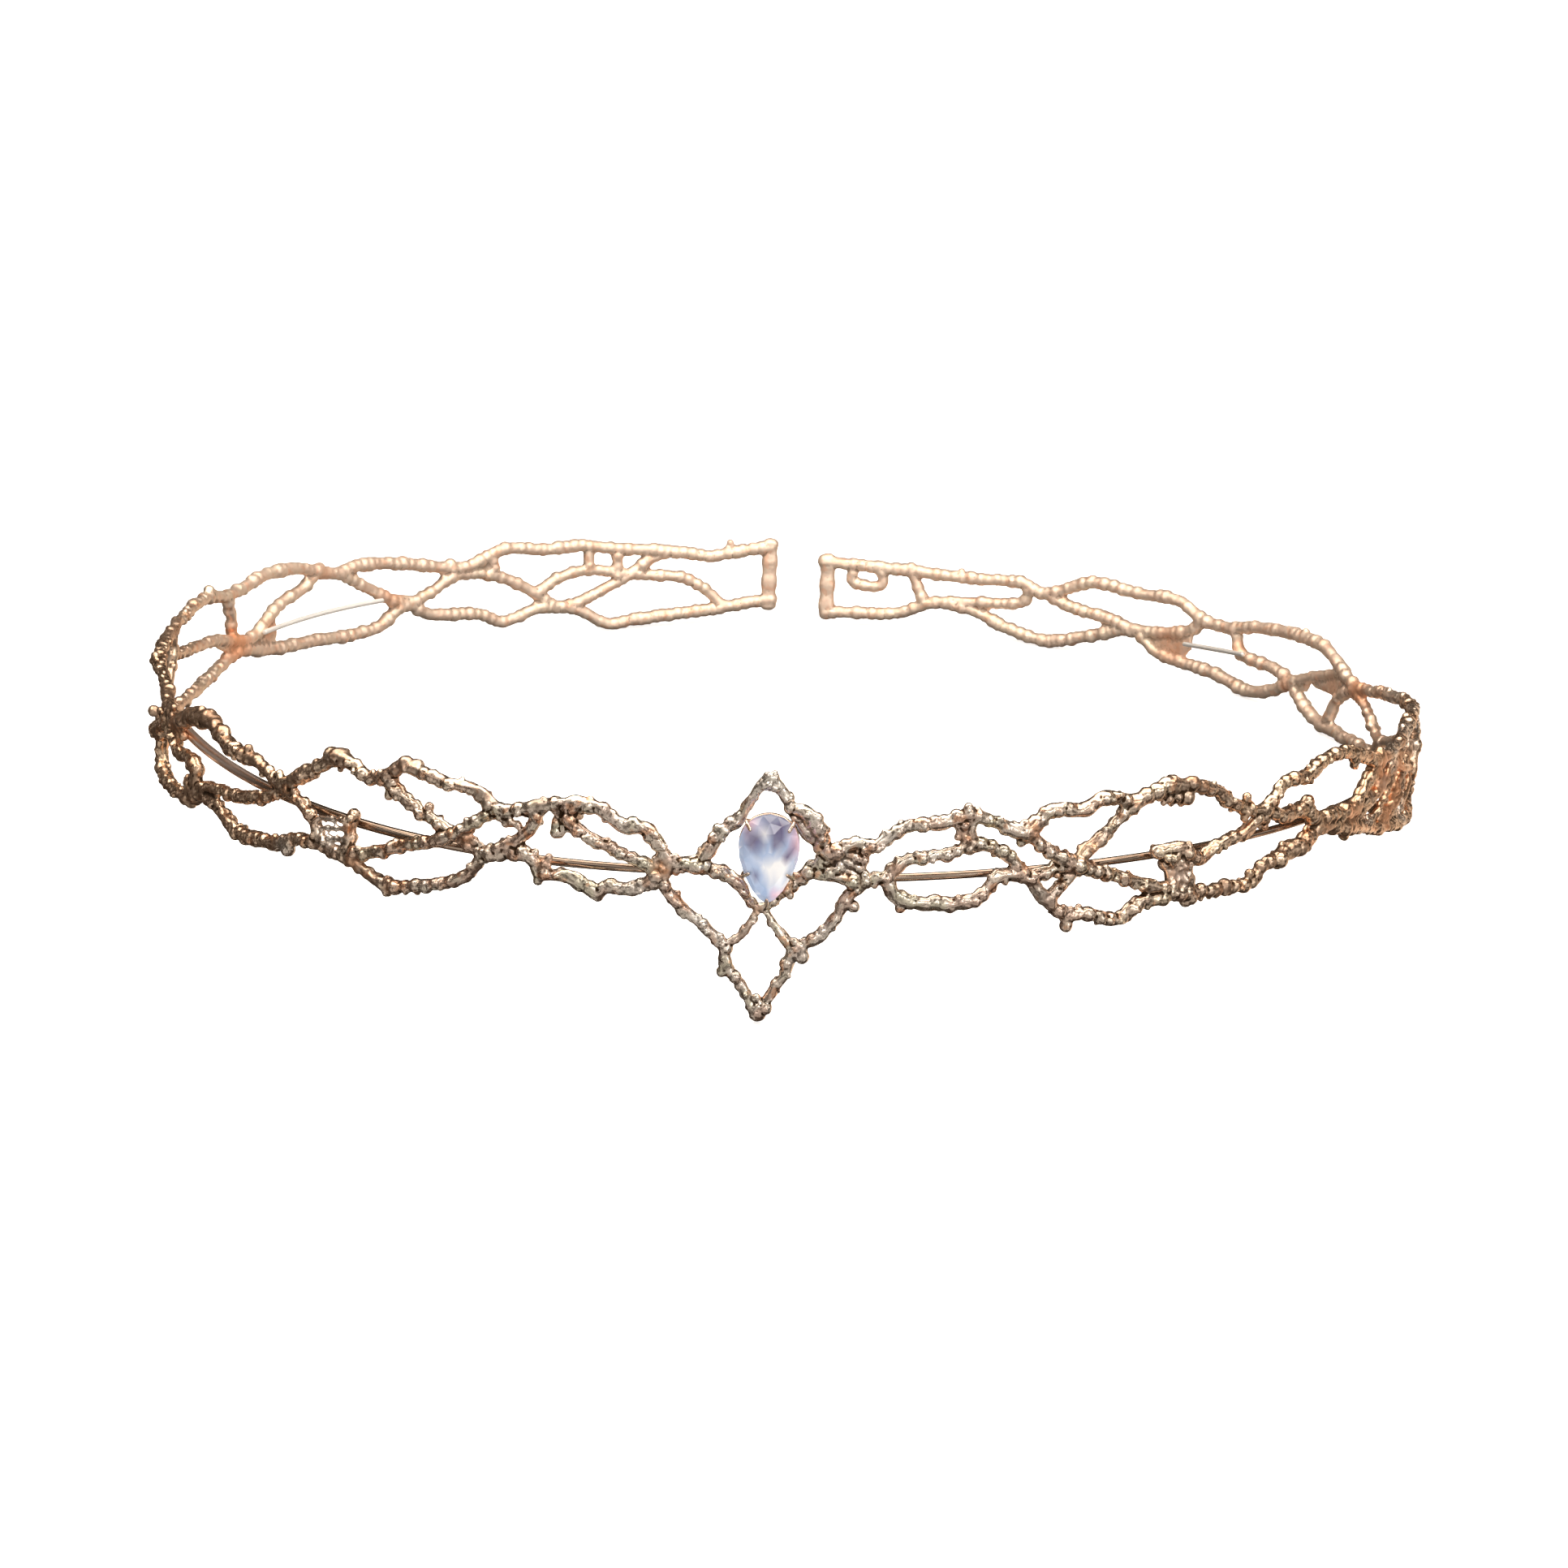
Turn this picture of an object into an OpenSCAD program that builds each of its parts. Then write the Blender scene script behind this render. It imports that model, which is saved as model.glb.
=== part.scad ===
// Openwork twig circlet, open at the back, with one pear-shaped stone at the front.
// The band stands round the Z axis and its front faces -Y.
// Every twig is a short table of the places where it turns, and a rounded tube follows it.

/* [Band] */
// Radius of the band, measured to the middle of the twigs
band_r = 75; // [60:0.5:90]
// Thickness of the twigs along the top and the bottom, and in the motif
twig_d = 1.4; // [1:0.1:2]
// Thickness of the branches between them
branch_d = 1.32; // [1:0.02:2]
// Thickness of the two fine branches under the stone
fine_twig_d = 1.1; // [0.8:0.1:1.4]
// Width of the bar that closes each half at the back
end_bar_w = 2.2; // [1.5:0.1:3]
// Thickness of that bar
end_bar_t = 1.6; // [1.2:0.1:2]

/* [Stay wires] */
// Thickness of the smooth wire inside each half's front
wire_d = 0.8; // [0.6:0.1:1]
// Thickness of the short wire inside each half's back
back_wire_d = 0.6; // [0.4:0.1:0.8]

/* [Stone] */
// Width of the pear stone
stone_w = 6; // [4:0.1:8]
// Height of the pear stone
stone_h = 9; // [6:0.1:12]
// Depth of the stone in front of its girdle
crown_t = 1.1; // [0.8:0.1:1.6]
// Depth of the stone behind its girdle
pavilion_t = 2.3; // [1.5:0.1:3]
// Facets around the stone
stone_facets = 16; // [8:2:24]

/* [Rest] */
// How far the front leans up when the crown stands on a table
rest_pitch = 3.94; // [0:0.01:8]
// How far the left side leans up when the crown stands on a table
rest_roll = 1.53; // [-4:0.01:4]

/* [Quality] */
// Sides of a twig's section
twig_sides = 6; // [5:1:8]
// Distance between two rings of a twig
ring_step = 3.1; // [1.5:0.1:4]

/* [Hidden] */
left = -1;
right = 1;
arc_per_degree = band_r * PI / 180;
// Each twig's section is turned by this part of a side more than the last one's
// The corners of twigs that meet then lie apart
section_turn = 0.33;
gold = [0.79, 0.61, 0.47];
bright_gold = [0.9, 0.78, 0.66];
opal = [0.78, 0.78, 0.93];

// Each row of a twig is [angle from the front, height, lift]
// Lift is how far the twig stands outside the band's middle, and 0 where it is left out

left_crest = [
    // over the first leaf
    [[5, 0], [7, 0.3], [8, 2.1], [8.9, 3.4], [10.7, 3.5], [13.2, 5.3], [16.2, 4.9], [20.8, 3.6]],
    // the second leaf, as far as the first waist
    [[20.8, 3.6], [22.5, 5.1], [25.8, 5.6], [29.5, 6.4], [31.2, 5], [33, 4.5], [36.1, 5.9],
        [38, 4.5], [42, 1.6], [43.5, 1.2]],
    // along the temple
    [[43.5, 1.2], [46.5, 2.5], [51.3, 3.2], [53.8, 4.5], [57, 4.7], [63.5, 2], [67, 2.6, -0.5],
        [74, 3.8, -0.9], [80, 4.6, -0.4], [90, 5.3], [101.5, 6.8]],
    // round to the back
    [[101.5, 6.8], [104.5, 6], [108.2, 6.1], [112.8, 7.1], [118, 7], [124.4, 5.2], [127, 5.8],
        [131.4, 5.6], [136, 4.7], [141.5, 3.8]],
    // the last stretch to the end bar
    [[141.5, 3.8], [146.5, 6], [151.4, 5.6], [155.3, 6], [160, 5.4], [166, 5], [170.4, 4.3],
        [173, 5], [177, 5.8]]
];

left_keel = [
    // under the first leaf
    [[7.8, -1.4], [9.7, -2.8], [12, -3], [12.6, -3.6], [15, -2.3], [17.3, -2.4], [18, -0.8],
        [21.8, -1.2]],
    // the second leaf
    [[21.8, -1.2], [23.4, -3.7], [26, -5.2], [31.1, -6.5], [35, -4.9], [40.6, -4.1]],
    // the third leaf, which turns back up at its end
    [[40.6, -4.1], [43.4, -5.5], [49.6, -6], [53.8, -4.3], [56, -3.8], [60, -5.5], [67.7, -5.8],
        [69.8, -4], [69, -0.5], [67, 1]],
    // along the temple
    [[67, 1], [72, -1.5], [77, -3.2], [83, -4.4], [90, -4.9], [97.3, -4.6], [103.4, -3.1],
        [108, -2], [112.8, -2.9], [120, -3.4], [129.9, -3.4], [134, -0.6]],
    // round to the end bar
    [[134, -0.6], [137.2, -2.4], [143.5, -3.1], [146.5, -4.5], [151, -2.8], [155.2, -3.3],
        [159, -5.6], [162, -5], [169.7, -3.7], [177, -1.9]]
];

left_branches = [
    [[8.5, -0.4], [11.3, 0.9], [14.9, 3.3], [15, 4.6]],
    [[17.2, 4.4], [18.4, 1.6], [20.3, -0.1], [21.8, -1.1], [23, -0.9], [25.1, 0.6], [28.7, 2.5],
        [31.5, 4.8]],
    [[21.3, 3.5], [23.8, 1, 0.5], [26, -0.6, 0.5], [29.6, -2], [32, -3.3], [36, -4.4]],
    [[35.3, -0.5, -0.9], [35.1, -4.6]],
    [[38.3, -4.1], [39.2, -1.6], [42.8, 0.7], [44, -0.3], [48.3, -1.9], [54, -2.6], [58.5, -4.4]],
    [[42.6, 0.6], [43.5, 1.2]],
    [[58, -4.2], [58, -1.2], [63, -1], [66.5, 1]],
    [[90, 5], [90.5, 2.4], [88.5, -1.4], [88, -4.7]],
    [[90.5, 2.2], [95.4, 1.3], [103.4, 0.6], [110, -0.8], [115.4, 2.7], [119.3, 4.1], [121.5, 6]],
    [[105, 5.9], [106.4, 3.2], [107.4, 0, 0.5], [109, -2]],
    [[125, 5.1], [129.2, 2.3], [134, -0.4], [137.5, 0.8], [140.3, 2.7], [145.3, 2.3],
        [150, -0.4], [152.5, -2.7]],
    [[140.3, 2.7], [140, 4]],
    [[145.3, 2.4], [145, 5.2]],
    [[150.5, -0.8], [152.7, 1.2], [156.4, 2.4], [160.9, 1.7], [167, 1.2], [169.2, 0], [172, -3]],
    [[156.5, 5.7], [156.6, 2.4]],
    [[159.8, 5.4], [159.9, 1.6]],
    [[153.5, -2.9], [155.5, -2.2], [161, 1.4], [163, 3.4], [165.5, 5]]
];

right_crest = [
    // over the first leaf
    [[5, 2], [7.2, 3], [8.2, 2.7], [10.8, 4.8], [13.6, 5.1], [15.4, 5.9], [17.9, 5], [20.1, 4]],
    // the second leaf, as far as the first waist
    [[20.1, 4], [22.5, 6.1], [25, 5.8], [27, 7.1], [29.8, 6.3], [32.6, 7.5], [37.5, 6.5],
        [39.8, 4.6], [42.6, 3.3], [43.7, 3.3]],
    // along the temple
    [[43.7, 3.3], [46.4, 5.8], [48.9, 5.8], [53, 7.3], [57.8, 6.2], [64, 4.2], [72, 5.2, 0.2],
        [78, 5.6, 0.4], [87, 4.4, 0.4], [96, 2.8, 0.2], [104, 1.4]],
    // round to the back
    [[104, 1.4], [107, 2.5], [111.2, 4.4], [116.1, 4.7], [123.4, 3.9], [127, 2.9], [131, 3],
        [134.5, 4.9], [139.9, 4.8]],
    // the last stretch to the end bar
    [[139.9, 4.8], [145.8, 5.2], [151.5, 2.6], [154.5, 3.7], [160, 3.4], [168, 3.7],
        [176.5, 4.1]]
];

right_keel = [
    // under the first leaf
    [[7.8, -0.8], [9.3, -0.6], [10.2, -2.4], [13, -3.2], [16.7, -2.7], [18.2, -0.6],
        [20.4, -0.7]],
    // the second leaf
    [[20.4, -0.7], [22.1, -3], [24, -4.9], [26, -5.1], [28.5, -6.1], [30.2, -4.9], [33.6, -4.2],
        [38.4, -4.5], [43.1, -4.4]],
    // along the temple
    [[43.1, -4.2], [43.7, -3.1], [46.6, -2.3], [50.3, -1.1], [51.5, -0.2], [56.5, -1.5],
        [64.5, -3.8], [75, -6, 0.5], [86, -6, 0.5], [97, -5.5], [106, -5.8], [111.7, -5.4], [115.2, -3.4],
        [116.5, -1.9]],
    // round to the end bar
    [[116.5, -1.9], [119.8, -3.8], [124, -5], [128.5, -4], [136.8, -3], [140.2, -0.6],
        [145.1, -2.2], [151, -4.2], [156, -3.1], [159.5, -1.4], [164, -0.6], [168.5, -2.7],
        [176.5, -3.3]]
];

right_branches = [
    [[9.6, -0.4], [10.7, 1.2], [13.7, 1.9], [16.8, 2.7], [19.2, 1.2], [20.4, -0.7]],
    [[15.7, 5.8], [15.8, 2.6]],
    [[20.3, 3.9], [22.6, 1.6, 0.5], [24.8, 0.2, 0.5], [28.4, -1.4], [32.1, -3.1], [34.8, -4.2]],
    [[20.4, -0.7], [24.2, 0.3], [26.6, 2.6], [29.5, 6]],
    [[24.6, 0], [24.2, -1], [22.6, -3]],
    [[33.6, 0, -0.9], [34, -3.9]],
    [[35.5, -0.8, -0.9], [35.8, -4.4]],
    [[32.6, 0.3, -0.9], [34.7, 0.7], [36.4, -0.9], [38.2, 0.3], [41.6, 1.3], [43.4, 3.2]],
    [[43.9, 3.1], [46.3, 2.1], [49.7, 2], [50.5, 0.9], [54, 0.4], [58, 0.2], [64, 1], [70, 3.2],
        [75, 5.4]],
    [[50.4, 1], [51.5, -0.2]],
    [[57.8, 0.2], [61, 2.8], [63.5, 4.3]],
    [[64.5, -3.8], [70, -1], [76, 1], [84, 0.4], [91, -1.8], [96, -3.5], [97.5, -5.4]],
    [[79, 5.5, 0.4], [81, 2, 0.9], [80.5, -2, 0.9], [82, -6, 0.5]],
    [[96, -3.5], [98, -2.5], [100, -1], [104, 1]],
    [[104, 0.8], [107, -0.8], [108.3, -2.3], [109.8, -5.4]],
    [[116.5, -1.7], [114.2, -0.6], [108.5, 1.7], [107, 2.4]],
    [[126.3, 2.9], [125.1, -0.2], [119.9, -0.8], [117, -1.7]],
    [[131.2, 2.8], [132.5, 1.3], [136.5, 0], [140.4, -0.3], [144, 0.6], [148.7, 1.3], [151, 2.5]],
    [[153.5, 3.4], [153.6, 1.6], [154.8, 0.6], [159.6, 0], [164, -0.6]],
    [[165.6, -0.7], [167, 3.6]],
    [[170.5, 3.9], [170.4, 1.2], [173.6, 1.4], [173.6, 3.9]]
];

// The motif's angles run from the left, below 0, to the right
motif_twigs = [
    // the arch over the stone
    [[-5, 0, -0.4], [-4, 1.9, -0.7], [-3.05, 3.7, -0.7], [-2, 4.7, -0.7], [-1.1, 7, -0.4],
        [0.3, 8.8, 0], [1.6, 7.2, -0.4], [2.8, 4.6, -0.7], [3.5, 3.6, -0.7], [5, 2, -0.3]],
    // the leaf on the arch's right leg
    [[2.2, 6.2, -0.4], [3.3, 6, 0.1], [4.2, 4.4, 0.2], [4.3, 2.8, -0.3]],
    // the strand that passes under the stone
    [[-5, 0, -0.4], [-3, -0.7, -0.7], [-1.6, -1.9, -0.7], [-0.9, -3.4, -0.7], [0, -4.1, -0.7],
        [1.1, -3.1, -0.7], [2.2, -1.5, -0.7], [3.5, -0.2, -0.7], [5, 1.8, -0.3]],
    // the hanging point
    [[-7.8, -1.4], [-7, -3], [-5.8, -4.5], [-4, -6.4], [-2.8, -8], [-2.3, -10.5],
        [-1.3, -11.8], [-0.7, -13.3], [0.1, -14.9], [0.8, -13.4], [1.3, -12.1], [2.1, -10.5],
        [2.6, -8.1], [4.3, -6.8], [5.7, -4.7], [6.4, -2.8], [7.6, -0.9]],
    // the knots where the band begins
    [[-5, 0, -0.4], [-6.4, 0.1], [-7.8, -1.4]],
    [[3.5, -0.2, -0.7], [5.5, -0.4], [7.6, -0.9]]
];
motif_diamond = [[-2.8, -8], [-1.3, -6.7, -0.2], [0, -4.1, -0.7], [1.3, -6, -0.2], [2.6, -8.2]];

// Each row of the buds and thorns is
// [angle, height, angle of the tip, height of the tip, thickness, lift of the tip]
left_buds = [[16, 4.4, 16, 1.6, 1.2, 0], [17.4, -2.4, 17.4, -3.3, 1, 0],
    [12.5, -3.4, 12.5, -4.4, 1, 0], [27, 1.7, 27, 2.8, 1, 0], [30.9, 3.9, 30.9, 2.8, 1, 0],
    [31, -6.3, 31, -7.5, 1, 0], [42.3, -5, 42.3, -6, 1.2, 0], [47.9, 2.6, 47.9, 3.8, 1, 0],
    [56.4, 4.6, 56.4, 5.6, 1, 0], [59, -5.2, 59, -6, 1.2, 0], [87, -4.6, 87.3, -3.9, 1.4, 1.8],
    [101.5, 6.8, 101.5, 7.6, 1.4, 0], [172.5, 4.8, 172.5, 6.6, 1, 0]];
right_buds = [[10.6, -2.8, 10.6, -3.8, 1, 0], [15.5, 5.8, 15.5, 6.8, 1, 0],
    [24.2, -5, 24.2, -6.4, 1.3, 0], [34.5, 6.9, 34.5, 6, 1.6, 0.4],
    [35.4, -4.3, 35.4, -5.3, 1.2, 0], [41.4, 4, 41.4, 5.2, 1, 0],
    [42.4, -4.2, 42.4, -3.3, 1, 0], [49.6, 2.1, 49.6, 3, 1.5, 0],
    [56.5, -1.6, 56.5, -2.7, 1.2, 0], [57.3, 6.3, 57.3, 5, 1, 0], [81, 0.5, 81, 1.2, 1.6, 1.3],
    [115, 4.6, 115, 5.6, 1, 0], [145.8, 5, 145.8, 5.8, 1.2, 0], [161.4, 3.4, 161.4, 4.4, 1, 0]];
motif_buds = [[3.4, -8, 3.6, -9.2, 1.3, 0], [6.6, -3.2, 7.1, -3.5, 1.2, 0],
    [-2.9, -0.7, -3.1, -0.6, 1.5, -0.8], [-3.3, 3.5, -3.6, 3.9, 1.4, -0.7],
    [1.9, -2.1, 2.1, -1.8, 1.5, -0.8], [-2.4, -10, -2.8, -10.8, 1.1, 0],
    [0, -14.5, 0.1, -14.8, 1.7, 0], [0.3, 8.4, 0.4, 8.8, 1.3, 0]];
// Where the motif meets each half, in degrees from the front, and the solder gap there
seam_angle = 7.9;
seam_gap = 0.2;
left_knot = [8.3, -0.5, 5.6, 0.2, 1.9, 0];
right_knot = [7.5, -0.7, 4.9, 1.8, 1.9, 0];

// Each end bar is [angle, lowest height, highest height]
left_bar = [177, -2.7, 6.4];
right_bar = [176.5, -3.7, 4.6];
// Each smooth wire is an arc through three rows, which are written as a twig's
left_wire = [[10, -1.2, -1.6], [36, -1.45, -2.1], [62.3, 0.95, -1.2]];
right_wire = [[9.6, -0.95, -1.6], [34, -0.35, -2.15], [63, 0.2, -1.2]];
left_back = [[111.5, -0.1, -1.2], [120, 0.4, -1.2], [130, 0.75, -1.2]];
right_back = [[124, 0.1, -1.2], [128, -0.25, -1.2], [132.5, -0.6, -1.2]];

// The stone's middle, as an angle and a height, and the radius of its girdle
stone_angle = 0.45;
stone_z = 1.5;
stone_r = band_r + 1.05;
// Places of the claws around the stone, in degrees from its round end
claw_turns = [38, 112, 180, 248, 322];
claw_d = 0.7;

// Middle of the whole and its lowest point, so that it stands centred on the floor
stand = [0.55, 0.72, 10.36];

function lift(row) = len(row) > 2 ? row[2] : 0;
function full(row) = [row[0], row[1], lift(row)];
function chord(a, b) =
    norm([(b[0] - a[0]) * arc_per_degree, b[1] - a[1], lift(b) - lift(a)]);
function unit(v) = v / norm(v);

// The curve through a twig's rows: its slope at row i, and its course from there to the next
function slope(p, i) =
    let (before = max(i - 1, 0), after = min(i + 1, len(p) - 1))
    (full(p[after]) - full(p[before])) / (chord(p[before], p[i]) + chord(p[i], p[after]));
function between(p, i, t) =
    let (h = chord(p[i], p[i + 1]))
    full(p[i]) * (2 * t * t * t - 3 * t * t + 1)
    + slope(p, i) * h * (t * t * t - 2 * t * t + t)
    + full(p[i + 1]) * (3 * t * t - 2 * t * t * t)
    + slope(p, i + 1) * h * (t * t * t - t * t);
function smooth_rows(p) = [
    for (i = [0 : len(p) - 2])
        let (steps = max(1, round(chord(p[i], p[i + 1]) / ring_step)))
        for (k = [0 : steps - 1]) between(p, i, k / steps),
    full(p[len(p) - 1])
];

function outward(angle) = [sin(angle), -cos(angle), 0];
function on_band(row, side) =
    outward(side * row[0]) * (band_r + lift(row)) + [0, 0, row[1]];

// The stretches of a long twig as one list of rows, since each begins where the last one ends
function end_to_end(stretches) = [
    for (i = [0 : len(stretches) - 1])
        for (j = [min(i, 1) : len(stretches[i]) - 1]) stretches[i][j]
];

// A rounded tube along a twig's rows, with the twig's order among its neighbours
module twig(rows, side, order, d = twig_d) {
    p = smooth_rows(rows);
    last = len(p) - 1;
    centres = [for (row = p) on_band(row, side)];
    points = [
        for (i = [0 : last])
            let (
                along = unit(centres[min(i + 1, last)] - centres[max(i - 1, 0)]),
                across = unit(cross(along, outward(side * p[i][0]))),
                out = cross(across, along)
            )
            for (k = [0 : twig_sides - 1])
                let (turn = (k + order * section_turn) * 360 / twig_sides)
                centres[i] + (out * cos(turn) + across * sin(turn)) * d / 2
    ];
    faces = concat(
        [[for (k = [0 : twig_sides - 1]) k]],
        [[for (k = [twig_sides - 1 : -1 : 0]) last * twig_sides + k]],
        [
            for (i = [0 : last - 1], k = [0 : twig_sides - 1])
                let (a = i * twig_sides + k, b = i * twig_sides + (k + 1) % twig_sides)
                each [[a, a + twig_sides, b + twig_sides], [a, b + twig_sides, b]]
        ]
    );
    polyhedron(points, faces);
}

module ball(at, d) {
    translate(at) sphere(d = d, $fn = 6);
}

// A bud or thorn, from its foot on the twig to its thinner tip
// A bud whose tip is set back has its foot set back too
module bud(row, side) {
    hull() {
        ball(on_band([row[0], row[1], min(0, row[5])], side), row[4]);
        ball(on_band([row[2], row[3], row[5]], side), row[4] * 0.65);
    }
}

// The upright bar that closes a half at the back
module end_bar(bar, side) {
    half = (end_bar_w - end_bar_t) / 2;
    rotate([0, 0, side * bar[0]])
        hull()
            for (x = [-half, half], z = [bar[1], bar[2]])
                ball([x, -band_r, z], end_bar_t);
}

// The sector that the front motif fills
module front_sector(half_angle) {
    reach = 2 * band_r;
    linear_extrude(height = reach, center = true)
        polygon([[0, 0], reach * [-sin(half_angle), -cos(half_angle)],
            reach * [sin(half_angle), -cos(half_angle)]]);
}

// The twigs that run on from the motif into a half of the band
module first_twigs(crest, keel, branches, knot, side) {
    twig(end_to_end(crest), side, 0);
    twig(end_to_end(keel), side, 1);
    twig(branches[0], side, 2, branch_d);
    bud(knot, side);
}

module half_band(crest, keel, branches, knot, buds, bar, side) {
    difference() {
        union() {
            twig(end_to_end(crest), side, 0);
            twig(end_to_end(keel), side, 1);
            for (i = [0 : len(branches) - 1]) twig(branches[i], side, i + 2, branch_d);
            for (row = concat([knot], buds)) bud(row, side);
            end_bar(bar, side);
        }
        front_sector(seam_angle + seam_gap / arc_per_degree);
    }
}

// A round wire on the arc that begins at the first row, passes the second and ends at the third
module smooth_wire(rows, side, d) {
    first = on_band(rows[0], side);
    to_second = on_band(rows[1], side) - first;
    to_third = on_band(rows[2], side) - first;
    normal = cross(to_second, to_third);
    to_middle = (cross(normal, to_second) * (to_third * to_third)
        + cross(to_third, normal) * (to_second * to_second)) / (2 * normal * normal);
    // the arc's axis leans from Z by the first angle, towards the second
    lean = acos(unit(normal)[2]);
    towards = atan2(normal[1], normal[0]);
    x_axis = [cos(lean) * cos(towards), cos(lean) * sin(towards), -sin(lean)];
    y_axis = [-sin(towards), cos(towards), 0];
    to_end = to_third - to_middle;
    start = atan2(-to_middle * y_axis, -to_middle * x_axis);
    stop = atan2(to_end * y_axis, to_end * x_axis);
    translate(first + to_middle)
        rotate([0, lean, towards])
            rotate([0, 0, start])
                rotate_extrude(angle = (stop - start + 360) % 360, $fn = 180)
                    translate([norm(to_middle), 0])
                        circle(d = d, $fn = 24);
}

// Outline of the pear at a turn from its round end, in its own plane
function pear(turn, grow = 0) =
    let (
        narrow = 1 - 0.5 * pow((1 - cos(turn)) / 2, 1.2),
        x = stone_w / 2 * sin(turn) * narrow / 0.815,
        y = stone_h / 2 * cos(turn)
    )
    [x, y] * (1 + grow / norm([x, y]));

// Its plane stands upright at the front, with the third axis outwards
module at_stone() {
    rotate([0, 0, stone_angle])
        translate([0, -stone_r, stone_z])
            rotate([90, 0, 0])
                children();
}

// Each level of the cut stone is [scale of the outline, depth in front of the girdle, turn]
module cut_pear() {
    n = stone_facets;
    half_step = 180 / n;
    levels = [[0.3, -pavilion_t, 0], [0.68, -0.55 * pavilion_t, half_step], [1, -0.1, 0],
        [1, 0.1, 0], [0.84, 0.6 * crown_t, half_step], [0.6, crown_t, 0]];
    points = [
        for (level = levels, k = [0 : n - 1])
            let (edge = pear(k * 360 / n + level[2]) * level[0]) [edge[0], edge[1], level[1]]
    ];
    top = len(levels) - 1;
    faces = concat(
        [[for (k = [0 : n - 1]) n - 1 - k]],
        [[for (k = [0 : n - 1]) top * n + k]],
        [
            for (i = [0 : top - 1], k = [0 : n - 1])
                let (
                    next = (k + 1) % n,
                    a = i * n + k,
                    b = i * n + next,
                    c = a + n,
                    d = b + n
                )
                each levels[i][2] == 0 ? [[a, b, c], [b, d, c]] : [[a, d, c], [a, b, d]]
        ]
    );
    polyhedron(points, faces);
}

module claw(turn) {
    foot = concat(pear(turn, 0.2), [-0.7]);
    shoulder = concat(pear(turn, 0.52), [0.35]);
    tip = concat(pear(turn, -0.4), [1]);
    hull() {
        ball(foot, claw_d);
        ball(shoulder, claw_d);
    }
    hull() {
        ball(shoulder, claw_d);
        ball(tip, 0.9 * claw_d);
    }
}

module left_twig_band() {
    color(gold) half_band(left_crest, left_keel, left_branches, left_knot, left_buds, left_bar, left);
}

module right_twig_band() {
    color(gold)
        half_band(right_crest, right_keel, right_branches, right_knot, right_buds, right_bar, right);
}

module front_motif() {
    color(gold)
        intersection() {
            front_sector(seam_angle);
            union() {
                for (i = [0 : len(motif_twigs) - 1]) twig(motif_twigs[i], right, i + 3);
                twig(motif_diamond, right, len(motif_twigs) + 3, fine_twig_d);
                for (row = motif_buds) bud(row, right);
                first_twigs(left_crest, left_keel, left_branches, left_knot, left);
                first_twigs(right_crest, right_keel, right_branches, right_knot, right);
            }
        }
}

module stone_setting() {
    color(gold) at_stone() {
        translate([0, 0, -0.9])
            linear_extrude(height = 0.6)
                difference() {
                    polygon([for (turn = [0 : 15 : 345]) pear(turn, 0.25)]);
                    polygon([for (turn = [0 : 15 : 345]) pear(turn, -0.12)]);
                }
        for (turn = claw_turns) claw(turn);
    }
}

module centre_stone() {
    color(opal) at_stone() cut_pear();
}

module left_stay_wire() {
    color(bright_gold) smooth_wire(left_wire, left, wire_d);
}

module right_stay_wire() {
    color(bright_gold) smooth_wire(right_wire, right, wire_d);
}

module left_back_wire() {
    color(bright_gold) smooth_wire(left_back, left, back_wire_d);
}

module right_back_wire() {
    color(bright_gold) smooth_wire(right_back, right, back_wire_d);
}

// The crown as it stands on a table, on its front point and two low twigs at the back
module standing() {
    translate(stand) rotate([-rest_pitch, rest_roll, 0]) children();
}

standing() left_twig_band();
standing() right_twig_band();
standing() front_motif();
standing() stone_setting();
standing() centre_stone();
standing() left_stay_wire();
standing() right_stay_wire();
standing() left_back_wire();
standing() right_back_wire();
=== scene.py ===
# Openwork twig circlet with a pear-shaped stone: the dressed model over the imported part
import math

import bpy
import numpy as np
from mathutils import Matrix, Vector


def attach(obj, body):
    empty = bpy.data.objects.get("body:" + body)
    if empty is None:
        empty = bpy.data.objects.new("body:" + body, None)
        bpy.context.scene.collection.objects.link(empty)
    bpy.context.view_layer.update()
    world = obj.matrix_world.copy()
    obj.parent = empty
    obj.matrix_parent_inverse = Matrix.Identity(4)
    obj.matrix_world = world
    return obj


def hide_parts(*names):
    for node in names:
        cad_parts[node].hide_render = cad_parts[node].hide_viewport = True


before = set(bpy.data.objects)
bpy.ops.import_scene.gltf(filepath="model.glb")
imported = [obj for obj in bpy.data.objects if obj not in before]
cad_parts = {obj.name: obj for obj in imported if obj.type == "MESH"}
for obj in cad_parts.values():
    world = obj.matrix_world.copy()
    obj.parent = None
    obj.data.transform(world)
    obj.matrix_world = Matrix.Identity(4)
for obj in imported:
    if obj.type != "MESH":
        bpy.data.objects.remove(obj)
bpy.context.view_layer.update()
print("frame loaded:", len(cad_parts), "nodes")

# The band's own frame is in millimetres: it stands round Z, and its front faces -Y
band = {
    "radius": 75.0,
    "twig": 1.4,  # thickness over the bark
    "branch": 1.32,
    "fineTwig": 1.1,
    "strand": 0.95,
    "rung": 0.62,
    "seamAngle": 7.9,  # where the motif meets each half, in degrees from the front
}
# How the band stands on the floor: turned about X, then about Y, then moved
stance = {"pitch": -3.94, "roll": 1.53, "move": (0.55, 0.72, 10.36)}

left, right = -1, 1
arcPerDegree = band["radius"] * math.pi / 180
turned = Matrix.Rotation(math.radians(stance["roll"]), 3, "Y")
turned = turned @ Matrix.Rotation(math.radians(stance["pitch"]), 3, "X")


def toFloor(points):
    # the turn, the move, and then millimetres to metres
    return (points @ np.array(turned).T + np.array(stance["move"])) * 0.001


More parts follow.
